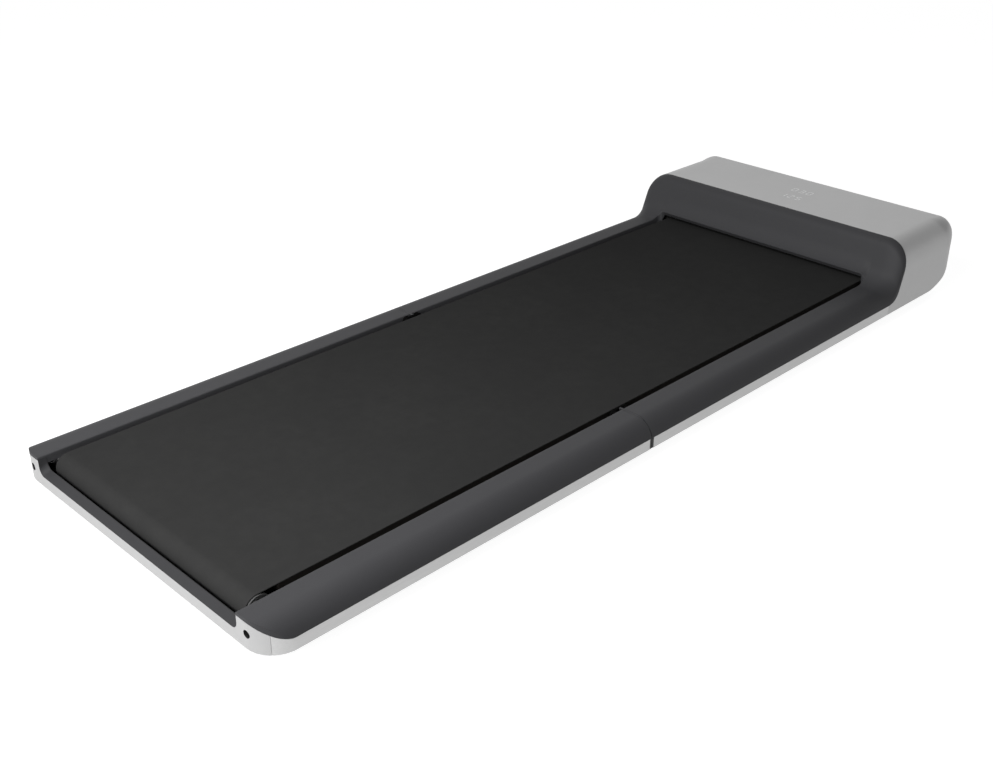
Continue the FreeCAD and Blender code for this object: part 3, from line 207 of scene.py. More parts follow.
def thicken(piece, wall):
    """Gives an outer skin a wall that grows inwards."""
    modifier = piece.modifiers.new("wall", "SOLIDIFY")
    modifier.thickness = wall * MM
    modifier.offset = -1
    modifier.use_even_offset = True
    return settle(piece)


def carve(piece, cutters, finish=None):
    """Cuts closed shapes out of a closed piece; the cut faces take the finish."""
    for mesh in cutters:
        mesh.materials.append(finish or piece.data.materials[0])
        tool = bpy.data.objects.new("cutter", mesh)
        bpy.context.scene.collection.objects.link(tool)
        modifier = piece.modifiers.new("cut", "BOOLEAN")
        modifier.operation = "DIFFERENCE"
        modifier.solver = "EXACT"
        modifier.material_mode = "TRANSFER"
        modifier.object = tool
        settle(piece)
        bpy.data.objects.remove(tool)
    return piece


def bar_y(outline, y0, y1, name="bar"):
    """Closed outline of points (x, z) drawn out along Y between two ends, with flat ends."""
    outline = np.array(outline, float)
    y = np.array([[y0], [y1]])
    sides = patch(outline[None, :, 0], y, outline[None, :, 1], round_columns=True)
    ends = [np.stack([outline[:, 0], np.full(len(outline), e), outline[:, 1]], -1) for e in (y0, y1)]
    return raw_mesh(name, [sides], ends)


def bar_x(outline, x0, x1, name="bar"):
    """Closed outline of points (y, z) drawn out along X between two ends, with flat ends."""
    outline = np.array(outline, float)
    x = np.array([[x0], [x1]])
    sides = patch(x, outline[None, :, 0], outline[None, :, 1], round_columns=True)
    ends = [np.stack([np.full(len(outline), e), outline[:, 0], outline[:, 1]], -1) for e in (x0, x1)]
    return raw_mesh(name, [sides], ends)


def circle(a, b, radius, count=48):
    """Points round a circle, in whole turns of equal steps."""
    turn = np.arange(count) * 2 * np.pi / count
    return np.stack([a + radius * np.cos(turn), b + radius * np.sin(turn)], -1)


def rounded_box(a, b, width, height, radius, count=8):
    """Outline of a rectangle about (a, b) with four quarter-round corners."""
    turn = np.linspace(0, np.pi / 2, count)
    corners = []
    for step, (side, up) in enumerate(((1, 1), (-1, 1), (-1, -1), (1, -1))):
        middle = np.array([a + side * (width / 2 - radius), b + up * (height / 2 - radius)])
        angle = turn + step * np.pi / 2
        corners.append(middle + radius * np.stack([np.cos(angle), np.sin(angle)], -1))
    return np.concatenate(corners)


def lathe_y(profile, x, z, y, steps=64):
    """Closed profile of (radius, offset along Y) turned round an axis along Y through (x, z)."""
    profile = np.array(profile, float)
    turn = (np.arange(steps) * 2 * np.pi / steps)[:, None]
    radius, offset = profile[None, :, 0], profile[None, :, 1]
    return patch(
        x + radius * np.cos(turn), y + offset + 0 * turn, z + radius * np.sin(turn),
        round_rows=True, round_columns=True,
    )


def lathe_z(profile, x, y, steps=40):
    """Open profile of (radius, height), from the axis out and back to it, turned round an upright axis."""
    profile = np.array(profile, float)
    turn = (np.arange(steps) * 2 * np.pi / steps)[:, None]
    radius, height = profile[None, :, 0], profile[None, :, 1]
    return patch(x + radius * np.cos(turn), y + radius * np.sin(turn), height + 0 * turn, round_rows=True)


# Shader groups shared by the finishes
def new_group(name, inputs, outputs):
    """Empty shader group with its named inputs and outputs, and the nodes that stand for them."""
    group = bpy.data.node_groups.new(name, "ShaderNodeTree")
    for label, value in inputs.items():
        socket = group.interface.new_socket(label, in_out="INPUT", socket_type="NodeSocketFloat")
        socket.default_value = value
    for label in outputs:
        group.interface.new_socket(label, in_out="OUTPUT", socket_type="NodeSocketFloat")
    return group, group.nodes.new("NodeGroupInput"), group.nodes.new("NodeGroupOutput")


def math_node(tree, operation, a, b=None):
    """A math node on two sockets or plain numbers; gives its result socket."""
    node = tree.nodes.new("ShaderNodeMath")
    node.operation = operation
    for socket, value in zip(node.inputs, (a, b)):
        if isinstance(value, (int, float)):
            socket.default_value = value
        elif value is not None:
            tree.links.new(value, socket)
    return node.outputs[0]


def noise_node(tree, vector, scale, detail, roughness=0.55):
    """Cloudy noise whose scale is a plain number or a socket."""
    node = tree.nodes.new("ShaderNodeTexNoise")
    node.inputs["Detail"].default_value = detail
    node.inputs["Roughness"].default_value = roughness
    tree.links.new(vector, node.inputs["Vector"])
    if isinstance(scale, (int, float)):
        node.inputs["Scale"].default_value = scale
    else:
        tree.links.new(scale, node.inputs["Scale"])
    return node.outputs["Fac"]


def between(tree, value, low, high):
    """Spreads a 0 to 1 value over low to high."""
    node = tree.nodes.new("ShaderNodeMapRange")
    tree.links.new(value, node.inputs["Value"])
    for label, side in (("To Min", low), ("To Max", high)):
        if isinstance(side, (int, float)):
            node.inputs[label].default_value = side
        else:
            tree.links.new(side, node.inputs[label])
    return node.outputs["Result"]


def grain_group():
    """Moulded or sprayed grain: fine noise for the height, and a slow cloud spread over low to high."""
    group, given, made = new_group(
        "moulded_grain", {"Grain": 900.0, "Cloud": 9.0, "Low": 0.4, "High": 0.5}, ("Height", "Cloud"),
    )
    place = group.nodes.new("ShaderNodeTexCoord").outputs["Object"]
    fine = noise_node(group, place, given.outputs["Grain"], 3.0)
    slow = noise_node(group, place, given.outputs["Cloud"], 4.0)
    group.links.new(fine, made.inputs["Height"])
    group.links.new(between(group, slow, given.outputs["Low"], given.outputs["High"]), made.inputs["Cloud"])
    return group


def brush_group():
    """Lines drawn out along X: noise on coordinates pressed together along X, fine and coarse added."""
    group, given, made = new_group("drawn_lines", {"Pitch": 700.0, "Stretch": 0.02}, ("Height",))
    place = group.nodes.new("ShaderNodeTexCoord").outputs["Object"]
    stretch = group.nodes.new("ShaderNodeVectorMath")
    stretch.operation = "MULTIPLY"
    group.links.new(place, stretch.inputs[0])
    pack = group.nodes.new("ShaderNodeCombineXYZ")
    group.links.new(given.outputs["Stretch"], pack.inputs["X"])
    pack.inputs["Y"].default_value = 1.0
    pack.inputs["Z"].default_value = 1.0
    group.links.new(pack.outputs["Vector"], stretch.inputs[1])
    lines = noise_node(group, stretch.outputs["Vector"], given.outputs["Pitch"], 2.0, 0.7)
    group.links.new(lines, made.inputs["Height"])
    return group


def dust_group():
    """Handling marks: two clouds multiplied, so that faint patches come and go over the surface."""
    group, given, made = new_group("faint_marks", {"Size": 14.0, "Amount": 0.5}, ("Mask",))
    place = group.nodes.new("ShaderNodeTexCoord").outputs["Object"]
    wide = noise_node(group, place, given.outputs["Size"], 3.0)
    tight = noise_node(group, place, math_node(group, "MULTIPLY", given.outputs["Size"], 6.3), 5.0, 0.65)
    both = math_node(group, "MULTIPLY", wide, tight)
    group.links.new(math_node(group, "MULTIPLY", both, given.outputs["Amount"]), made.inputs["Mask"])
    return group


GRAIN, BRUSH, MARKS = grain_group(), brush_group(), dust_group()


class Finish:
    """A material with its Principled shader, and short ways to place groups and links in it."""

    def __init__(self, name, roughness=0.5, metallic=0.0, specular=0.4):
        self.material = bpy.data.materials.new(name)
        self.material.use_nodes = True
        self.tree = self.material.node_tree
        self.shader = self.tree.nodes["Principled BSDF"]
        self.shader.inputs["Roughness"].default_value = roughness
        self.shader.inputs["Metallic"].default_value = metallic
        self.shader.inputs["Specular IOR Level"].default_value = specular

    def group(self, group, **values):
        """Places a shared group with its own values; gives its outputs."""
        node = self.tree.nodes.new("ShaderNodeGroup")
        node.node_tree = group
        for label, value in values.items():
            node.inputs[label].default_value = value
        return node.outputs

    def mixed(self, mask, dark, pale):
        """Colour that goes from dark to pale with the mask; either may be a plain colour or a socket."""
        node = self.tree.nodes.new("ShaderNodeMix")
        node.data_type = "RGBA"
        # Sockets 6 and 7 are the two colours, and output 2 is their mix
        for socket, colour in ((node.inputs[6], dark), (node.inputs[7], pale)):
            if isinstance(colour, tuple):
                socket.default_value = (*colour, 1)
            else:
                self.tree.links.new(colour, socket)
        self.tree.links.new(mask, node.inputs[0])
        return node.outputs[2]

    def colours(self, mask, dark, pale):
        """Base colour that goes from dark to pale with the mask."""
        self.tree.links.new(self.mixed(mask, dark, pale), self.shader.inputs["Base Color"])

    def beyond(self, distance):
        """Mask that is 1 further than the distance, in millimetres, from the middle plane."""
        split = self.tree.nodes.new("ShaderNodeSeparateXYZ")
        place = self.tree.nodes.new("ShaderNodeTexCoord").outputs["Object"]
        self.tree.links.new(place, split.inputs["Vector"])
        away = math_node(self.tree, "ABSOLUTE", split.outputs["Y"])
        return math_node(self.tree, "GREATER_THAN", away, distance * MM)

    def bump(self, height, distance, strength=1.0):
        """Relief of the given depth in millimetres."""
        node = self.tree.nodes.new("ShaderNodeBump")
        node.inputs["Strength"].default_value = strength
        node.inputs["Distance"].default_value = distance * MM
        self.tree.links.new(height, node.inputs["Height"])
        self.tree.links.new(node.outputs["Normal"], self.shader.inputs["Normal"])

    def rough(self, value):
        """Roughness from a socket."""
        self.tree.links.new(value, self.shader.inputs["Roughness"])


def moulded(name, dark, pale, grain, depth, rough, specular=0.4, metallic=0.0, marks=0.5):
    """Plastic, rubber or paint: moulded grain in the relief, cloudy gloss, faint marks in the colour."""
    finish = Finish(name, metallic=metallic, specular=specular)
    skin = finish.group(GRAIN, Grain=grain, Cloud=11.0, Low=rough[0], High=rough[1])
    finish.colours(finish.group(MARKS, Size=12.0, Amount=2 * marks)["Mask"], dark, pale)
    finish.rough(skin["Cloud"])
    finish.bump(skin["Height"], depth)
    return finish.material


def drawn_metal(name, dark, pale, pitch, depth, rough, metallic=1.0, stretch=0.02, inside=None):
    """Metal with fine lines along X in its colour and relief, and cloudy gloss.

    Where an inside distance is given, what lies nearer than that to the middle plane is painted black and not
    metal: painted shade standing for the shadow in the rails' inner channel.
    """
    finish = Finish(name, metallic=metallic, specular=0.5)
    lines = finish.group(BRUSH, Pitch=pitch, Stretch=stretch)["Height"]
    skin = finish.group(GRAIN, Grain=400.0, Cloud=6.0, Low=rough[0], High=rough[1])
    if inside is None:
        finish.colours(lines, dark, pale)
    else:
        # Painted shade: near the middle plane the colour turns black and the metal off, standing for the
        # shadow inside the rail's channel
        outside = finish.beyond(inside)
        finish.colours(outside, (0.012, 0.012, 0.012), finish.mixed(lines, dark, pale))
        finish.tree.links.new(
            math_node(finish.tree, "MULTIPLY", outside, metallic), finish.shader.inputs["Metallic"],
        )
    finish.rough(skin["Cloud"])
    finish.bump(lines, depth)
    return finish.material


def belt_finish():
    """Walking belt: a fine diamond emboss from two crossed waves on the belt's own map, over a matt skin."""
    finish = Finish("belt_emboss", specular=0.0)
    tree = finish.tree
    place = tree.nodes.new("ShaderNodeUVMap")
    place.uv_map = "run"
    split = tree.nodes.new("ShaderNodeSeparateXYZ")
    tree.links.new(place.outputs["UV"], split.inputs["Vector"])
    turns = 2 * math.pi / 0.0026
    along, across = split.outputs["X"], split.outputs["Y"]
    waves = [
        math_node(tree, "SINE", math_node(tree, "MULTIPLY", math_node(tree, sign, along, across), turns))
        for sign in ("ADD", "SUBTRACT")
    ]
    lattice = math_node(tree, "MULTIPLY", waves[0], waves[1])
    skin = finish.group(GRAIN, Grain=700.0, Cloud=7.0, Low=0.56, High=0.68)
    height = math_node(tree, "ADD", math_node(tree, "MULTIPLY", lattice, 0.35), skin["Height"])
    finish.colours(
        finish.group(MARKS, Size=8.0, Amount=1.6)["Mask"], (0.029, 0.029, 0.029), (0.0375, 0.0375, 0.037),
    )
    finish.rough(skin["Cloud"])
    finish.bump(height, 0.09)
    return finish.material


def lit_finish():
    """Figures with light behind them, a little uneven along each stroke."""
    finish = Finish("lit_figures", roughness=0.35)
    skin = finish.group(GRAIN, Grain=500.0, Cloud=160.0, Low=0.3, High=0.42)
    finish.rough(skin["Cloud"])
    finish.colours(skin["Height"], (0.55, 0.55, 0.545), (0.72, 0.72, 0.715))
    finish.shader.inputs["Emission Color"].default_value = (0.9, 0.92, 0.95, 1)
    finish.shader.inputs["Emission Strength"].default_value = 0.12
    return finish.material


SILVER = moulded(
    "silver_paint", (0.45, 0.45, 0.452), (0.475, 0.475, 0.475), 2600.0, 0.03, (0.38, 0.44), 0.4, 0.5, 1.0,
)
# Painted shade: nearer than 248 mm to the middle plane the rail is coloured black, standing for the shadow in
# its inner channel
RAIL_METAL = drawn_metal(
    "rail_aluminium_painted_shade_inside", (0.47, 0.47, 0.47), (0.57, 0.57, 0.57), 900.0, 0.015, (0.38, 0.46), 0.6, 0.05, 248.0,
)
DARK_COVER = moulded(
    "cover_soft_touch", (0.044, 0.044, 0.0469), (0.0504, 0.0504, 0.0534), 1500.0, 0.03, (0.52, 0.6), 0.16,
)
STRIP_PLASTIC = moulded(
    "strip_plastic", (0.034, 0.034, 0.036), (0.041, 0.041, 0.043), 1500.0, 0.03, (0.52, 0.6), 0.1,
)
BLACK_PLASTIC = moulded(
    "black_plastic", (0.012, 0.012, 0.0125), (0.022, 0.022, 0.022), 1300.0, 0.04, (0.45, 0.58), 0.35,
)
SWITCH_PLASTIC = moulded(
    "switch_plastic", (0.5, 0.026, 0.022), (0.58, 0.034, 0.028), 2200.0, 0.015, (0.26, 0.34), 0.45,
)
RUBBER = moulded("foot_rubber", (0.014, 0.014, 0.014), (0.03, 0.03, 0.029), 600.0, 0.1, (0.7, 0.85), 0.25)
DECK_BOARD = moulded("deck_board", (0.02, 0.018, 0.016), (0.05, 0.043, 0.036), 350.0, 0.06, (0.5, 0.65), 0.3)
BLACK_STEEL = moulded(
    "black_steel", (0.011, 0.011, 0.012), (0.024, 0.024, 0.025), 1800.0, 0.05, (0.42, 0.55), 0.45, 0.0, 0.8,
)
HINGE_BLACK = moulded(
    "oxide_black", (0.003, 0.003, 0.003), (0.005, 0.005, 0.005), 1800.0, 0.03, (0.75, 0.85), 0.0, 0.0, 0.8,
)
STEEL = drawn_metal("bright_steel", (0.46, 0.46, 0.47), (0.62, 0.62, 0.62), 500.0, 0.01, (0.22, 0.34))
ROLLER_STEEL = drawn_metal(
    "roller_steel", (0.1, 0.1, 0.1), (0.16, 0.16, 0.16), 500.0, 0.01, (0.45, 0.55), 0.7,
)
ALLOY = drawn_metal("motor_alloy", (0.36, 0.36, 0.37), (0.5, 0.5, 0.5), 300.0, 0.02, (0.38, 0.5))
CIRCUIT = moulded("circuit_board", (0.012, 0.05, 0.03), (0.03, 0.1, 0.06), 500.0, 0.04, (0.3, 0.45), 0.45)
BELT = belt_finish()
LIT = lit_finish()


# Outer skin of the front half
def top_height(x, toe_round=TOE_ROUND):
    """Top along X: level cover, an arc rising at the toe, a straight slope, an arc at the brow, level."""
    toe_x = SLOPE_FOOT - toe_round * math.tan(SLOPE_TURN / 2)
    toe = COVER_Z + toe_round - np.sqrt(np.maximum(toe_round**2 - (x - toe_x) ** 2, 0))
    slope = HEIGHT - (BROW_X - x) / SLOPE_LEAN
    brow = HEIGHT - BROW_ROUND + np.sqrt(np.maximum(BROW_ROUND**2 - (x - EDGE_X) ** 2, 0))
    toe_end = toe_x + toe_round * math.sin(SLOPE_TURN)
    brow_start = EDGE_X - BROW_ROUND * math.sin(SLOPE_TURN)
    spans = [x < toe_x, x < toe_end, x < brow_start, x < EDGE_X]
    return np.select(spans, [COVER_Z, toe, slope, brow], HEIGHT)


def middle_height(x, y):
    """Top above the belt opening's end: its toe grows softer from the sides of the opening to its middle."""
    soft = smooth_step((COVER_Y + EDGE_SOFT - np.abs(y)) / LIP_BLEND)
    return top_height(x) + (top_height(x, MIDDLE_TOE_ROUND) - top_height(x)) * soft


def corner_radius(top):
    """Rounding between side and top, which grows as the skin rises from the cover to the head."""
    return COVER_ROUND + (HEAD_ROUND - COVER_ROUND) * (top - COVER_Z) / (HEIGHT - COVER_Z)


def side_curve(share, half, top, radius, foot):
    """Point (y, z) a share of the way up the side: a straight wall, then a quarter round to the top.

    The share counts length along the line from the foot. Where the foot is above the round's middle,
    the line starts on the round itself.
    """
    wall = np.maximum(top - radius - foot, 0)
    start = np.arcsin(np.clip((foot - top + radius) / radius, 0, 1))
    run = share * (wall + radius * (np.pi / 2 - start))
    turn = start + np.maximum(run - wall, 0) / radius
    on_wall = run < wall
    y = np.where(on_wall, half, half - radius + radius * np.cos(turn))
    z = np.where(on_wall, foot + run, top - radius + radius * np.sin(turn))
    return y, z


def colour_edge(z):
    """X where dark cover meets silver head at a height: a leaning line, rounded off into the rail's top."""
    foot_x = EDGE_X - EDGE_LEAN * (HEIGHT - RAIL_TOP)
    lean = math.atan(EDGE_LEAN)
    middle_x = foot_x - EDGE_ROUND / math.tan((np.pi / 2 + lean) / 2)
    middle_z = RAIL_TOP + EDGE_ROUND
    join_z = middle_z - EDGE_ROUND * math.sin(lean)
    arc = middle_x + np.sqrt(np.maximum(EDGE_ROUND**2 - (middle_z - z) ** 2, 0))
    return np.where(z < join_z, arc, EDGE_X - EDGE_LEAN * (HEIGHT - z))


def skin_point(share, x):
    """Point (y, z) on the front half's skin above the rail, a share of the way up its side at x."""
    top = top_height(x)
    return side_curve(share, HALF_WIDTH, top, corner_radius(top), RAIL_TOP)


def edge_along(share):
    """X of the colour edge on each line of equal share, found by repeating x = edge(height at x)."""
    x = np.full_like(share, EDGE_X)
    for _ in range(80):
        x = colour_edge(skin_point(share, x)[1])
    return x


def seam_end(half, z):
    """X where a half's cover stops at the seam: upright below its fold pin, round the pin above."""
    pin = SEAM_X + half * PIN_SPAN / 2
    above = pin - half * np.sqrt(np.maximum(PIN_REACH**2 - (z - PIN_Z) ** 2, 0))
    return np.where(z < PIN_Z, SEAM_X + half * SEAM_GAP, above)


def lip_line(y, corner):
    """X of the belt opening's end at y: straight across, with a rounded corner at each side."""
    out = np.maximum(np.abs(y) - (COVER_Y - corner), 0)
    return LIP_X - corner + np.sqrt(np.maximum(corner**2 - out**2, 0))


def front_moulding():
    """Dark moulding of the front half, as one skin.

    Each side strip is the side curve carried from the seam to the colour edge, then level to the belt
    opening. The middle runs from the opening's end up the slope to the colour edge. A lip turns down
    round the opening: a small quarter round, then a wall, deep beside the belt and low and leaning back
    above it.
    """
    strip_end = LIP_X - LIP_CORNER
    edge = edge_along(SHARES)
    _, foot_z = skin_point(SHARES, np.full_like(SHARES, SEAM_X))
    start = seam_end(FRONT, foot_z)
    near = dense([0, 0.05, 0.9, 1], [4, 24, 10])[:, None]
    first = start + (np.minimum(strip_end, edge - 1.0) - start) * near
    step = np.linspace(0, 1, 46)[:, None]
    second = first[-1] + (edge - first[-1]) * step
    x_side = np.concatenate([first, second[1:]])
    y_side, z_side = skin_point(SHARES, x_side)
    top_x = x_side[:, -1:]
    top_r = corner_radius(top_height(top_x))
    level_share = np.linspace(0, 1, 7)[None, 1:]
    y_level = (HALF_WIDTH - top_r) + (COVER_Y + EDGE_SOFT - HALF_WIDTH + top_r) * level_share
    x = np.concatenate([x_side, np.repeat(top_x, 6, 1)], 1)
    y = np.concatenate([y_side, y_level], 1)
    z = np.concatenate([z_side, np.repeat(top_height(top_x), 6, 1)], 1)
    strips = [patch(x, side * y, z) for side in (1, -1)]
    rows = second[:, -1]
    inner = COVER_Y + EDGE_SOFT
    y_mid = inner * np.sin(np.linspace(-np.pi / 2, np.pi / 2, 61))
    begin = lip_line(y_mid * COVER_Y / inner, LIP_CORNER)
    begin = begin + EDGE_SOFT * smooth_step((inner - np.abs(y_mid)) / 4)
    begin[[0, -1]] = rows[0]
    share = ((rows - rows[0]) / (rows[-1] - rows[0]))[:, None]
    x_mid = begin + (rows[-1] - begin) * share
    middle = patch(x_mid, y_mid, middle_height(x_mid, y_mid))
    path_x = np.concatenate([first[:, -1], begin[1:-1], first[::-1, -1]])
    path_y = np.concatenate([np.full(len(first), inner), y_mid[-2:0:-1], np.full(len(first), -inner)])
    turn = np.linspace(0, np.pi / 2, 5)[None, :]
    inward_y = -np.sign(path_y) * smooth_step((np.abs(path_y) - COVER_Y + LIP_CORNER) / LIP_CORNER)
    inward_x = -np.sqrt(1 - inward_y**2)
    beside = smooth_step((np.abs(path_y) - BELT_HALF - 1.0) / 4.0)
    drop = LIP_DROP + (COVER_Z - WALL_FOOT_Z - LIP_DROP) * beside
    reach = EDGE_SOFT * np.sin(turn) + 0 * drop[:, None]
    reach = np.append(reach, EDGE_SOFT - LIP_UNDERCUT * (1 - beside)[:, None], 1)
    depth = np.append(EDGE_SOFT * (1 - np.cos(turn)) + 0 * drop[:, None], drop[:, None], 1)
    lip = patch(
        path_x[:, None] + inward_x[:, None] * reach, path_y[:, None] + inward_y[:, None] * reach,
        middle_height(path_x, path_y)[:, None] - depth,
    )
    mesh = raw_mesh("front_moulding", strips + [middle, lip])
    turn_out(mesh, (-0.3, 0, 1))
    piece = thicken(add_object("front_moulding", mesh, DARK_COVER), COVER_WALL - 1.0)
    soften(piece.data)
    return stand_for(piece, "front_half", "front_cover")


def head_shell():
    """Silver shell of the head.

    Its sections are the side curve on both sides with a level top. From the colour edge they run
    straight, and over the last stretch top, sides and foot draw in along quarter rounds to the flat end.
    The two ports and the wheels' slots are cut out.
    """
    edge = edge_along(SHARES) + HEAD_CLEAR
    turn_x = HALF_LENGTH - END_FOOT_ROUND
    plain = dense([0, 0.35, 0.75, 1], [26, 8, 16])[:, None]
    x_plain = edge + (turn_x - edge) * plain
    arc = np.linspace(0, np.pi / 2, 26)[1:, None]
    x_arc = turn_x + END_FOOT_ROUND * np.sin(arc) + 0 * SHARES
    x = np.concatenate([x_plain, x_arc])

    def draw_in(size, x):
        """How far a quarter round of that size has drawn in at x."""
        out = np.clip(x - (HALF_LENGTH - size), 0, size)
        return size - np.sqrt(size**2 - out**2)

    def section(x):
        """Half width, top, top rounding, foot, foot rounding and height of the band above the foot at x."""
        half = HALF_WIDTH - draw_in(PLAN_ROUND, x)
        top = top_height(x) - draw_in(END_TOP_ROUND, x)
        radius = corner_radius(top_height(x)) - END_RADIUS_LOSS * smooth_step((x - turn_x) / END_FOOT_ROUND)
        foot = RAIL_Z + draw_in(END_FOOT_ROUND, x)
        sole = SOLE_ROUND * np.clip((x - SOLE_X) / (HALF_LENGTH - SOLE_X), 0, 1) ** SOLE_POWER
        sole = sole - SOLE_EASE * smooth_step((x - SOLE_EASE_X) / SOLE_EASE_RUN)
        return half, top, radius, foot, sole, np.maximum(RAIL_TOP - RAIL_Z, sole)

    half, top, radius, foot, sole, band = section(x)
    y_side, z_side = side_curve(SHARES, half, top, radius, foot + band)
    level = np.linspace(1, -1, 25)[None, 1:-1]
    y_level = (half - radius)[:, -1:] * level
    x_level = np.repeat(x[:, -1:], level.shape[1], 1)
    z_level = np.repeat(top[:, -1:], level.shape[1], 1)
    upper = patch(
        np.concatenate([x, x_level, x[:, ::-1]], 1),
        np.concatenate([y_side, y_level, -y_side[:, ::-1]], 1),
        np.concatenate([z_side, z_level, z_side[:, ::-1]], 1),
    )
    low_x = np.concatenate([[RAIL_STOP_X + HEAD_CLEAR], x[:, 0]])[:, None]
    half, _, _, foot, sole, band = section(low_x)
    run = np.linspace(0, 1, 17)[None, :] * (sole * np.pi / 2 + band - sole)
    turn = np.minimum(run / np.maximum(sole, 1e-6), np.pi / 2)
    low_y = half - sole * (1 - np.sin(turn))
    low_z = foot + sole * (1 - np.cos(turn)) + np.maximum(run - sole * np.pi / 2, 0)
    bands = [patch(low_x, side * low_y, low_z) for side in (1, -1)]
    under_x = x[len(plain) - 1:, :1]
    half, _, _, foot, sole, _ = section(under_x)
    across = np.linspace(1, -1, 41)[None, :]
    under = patch(under_x, (half - sole) * across, foot)
    ring = np.concatenate([
        upper[0][-1], bands[1][0][-1, ::-1][1:], under[0][-1, ::-1][1:], bands[0][0][-1][1:-1],
    ])
    mesh = raw_mesh("head_shell", [upper, *bands, under], [ring])
    turn_out(mesh, (0.4, 0, 1))
    piece = thicken(add_object("head_shell", mesh, SILVER), COVER_WALL)
    wide = WHEEL_WIDTH / 2 + SLOT_GAP
    cutters = [
        bar_x(rounded_box(INLET_Y, PORT_Z, INLET_WIDTH, INLET_HEIGHT, 1.5), PORT_X - 20, PORT_X + 20),
        bar_x(rounded_box(SWITCH_Y, PORT_Z, SWITCH_WIDTH, SWITCH_HEIGHT, 1.5), PORT_X - 20, PORT_X + 20),
    ]
    cutters += [
        bar_y(circle(WHEEL_X, WHEEL_Z, WHEEL_RADIUS + SLOT_GAP), side * WHEEL_Y - wide, side * WHEEL_Y + wide)
        for side in (1, -1)
    ]
    carve(piece, cutters)
    soften(piece.data, 32)
    return stand_for(piece, "front_half", "head_cover")


# Rear half
def tail_x(y, inset=0.0):
    """X of the plan's tail edge at y, moved in by inset: straight, with a quarter round at each corner."""
    radius = PLAN_ROUND - inset
    out = np.clip(np.abs(y) - (HALF_WIDTH - PLAN_ROUND), 0, radius)
    return -HALF_LENGTH + PLAN_ROUND - np.sqrt(radius**2 - out**2)


def tail_border(y):
    """Height where dark cover meets silver on the tail's outline at y: it sinks smoothly along the corner."""
    turn = np.arcsin(np.clip((np.abs(y) - HALF_WIDTH + PLAN_ROUND) / PLAN_ROUND, 0, 1))
    return BORDER_Z - (BORDER_Z - RAIL_TOP) * smooth_step(PLAN_ROUND * turn / BORDER_RUN)


def cover_line(shift):
    """Section (y, z) of a rear cover, moved in by shift: side curve, level top, small round, wall's top."""
    y_side, z_side = side_curve(
        SHARES, HALF_WIDTH - shift, COVER_Z - shift, COVER_ROUND - shift, RAIL_TOP,
    )
    turn = np.linspace(0, np.pi / 2, 5)[1:]
    soft = max(EDGE_SOFT - shift, 0.02)
    inner = COVER_Y + shift
    y_level = np.linspace(HALF_WIDTH - COVER_ROUND, inner + soft, 7)[1:]
    y = np.concatenate([y_side, y_level, inner + soft * (1 - np.sin(turn))])
    z = np.concatenate([z_side, np.full(6, COVER_Z - shift), COVER_Z - shift - soft * (1 - np.cos(turn))])
    return y, z


def rear_cover(name, node, side):
    """Dark cover of one rear rail.

    An outer and an inner section line, each with a wall beside the belt, run from the rounded tail to the
    seam. At the tail both turn straight down to the border with the silver. Strips between the two close
    the ends and the lower edges.
    """
    along = dense([0, 0.03, 0.12, 0.95, 1], [8, 8, 24, 5])[:, None]
    border = tail_border(cover_line(0)[0])
    wall_steps = np.linspace(0, 1, 6)[None, 1:]

    def skin(shift, inset):
        """Section line moved in by shift, run along X from the tail, moved in by inset, to the seam."""
        y, z = cover_line(shift)
        seam = seam_end(REAR, z)
        x = tail_x(y, inset) + (seam - tail_x(y, inset)) * along
        skirt = np.stack([x[0], side * y, np.minimum(z, border)], -1)
        top = np.stack([x, side * y + 0 * x, z + 0 * x], -1)
        wall_x = -HALF_LENGTH + TAIL_WALL + (seam[-1] + HALF_LENGTH - TAIL_WALL) * along
        foot = NOTCH_Z + (WALL_FOOT_Z - NOTCH_Z) * smooth_step((wall_x - NOTCH_X) / 4)
        wall = np.stack(np.broadcast_arrays(
            wall_x, side * (COVER_Y + shift), z[-1] + (foot - z[-1]) * wall_steps), -1)
        skirt = np.concatenate([skirt, wall[0]])
        return np.concatenate([skirt[None], np.concatenate([top, wall], 1)])

    outer, inner = skin(0, 0.0), skin(COVER_WALL, SKIRT)
    patches = [(outer, {}), (inner, {})]
    patches += [(np.stack([outer[row], inner[row]]), {}) for row in (0, -1)]
    patches += [(np.stack([outer[:, column], inner[:, column]]), {}) for column in (0, -1)]
    mesh = raw_mesh(name, patches)
    piece = add_object(name, mesh, DARK_COVER)
    soften(mesh)
    return stand_for(piece, "rear_half", node)


def ear_top(y):
    """Top of the silver wall on the tail's outline at y: the border under the cover, a low bar between."""
    inward = np.clip(np.abs(y) - (COVER_Y - TAIL_FILLET), 0, TAIL_FILLET)
    bar = TAIL_BAR_Z + TAIL_FILLET - np.sqrt(TAIL_FILLET**2 - inward**2)
    return np.where(np.abs(y) > COVER_Y, tail_border(y) - 0.1, bar)


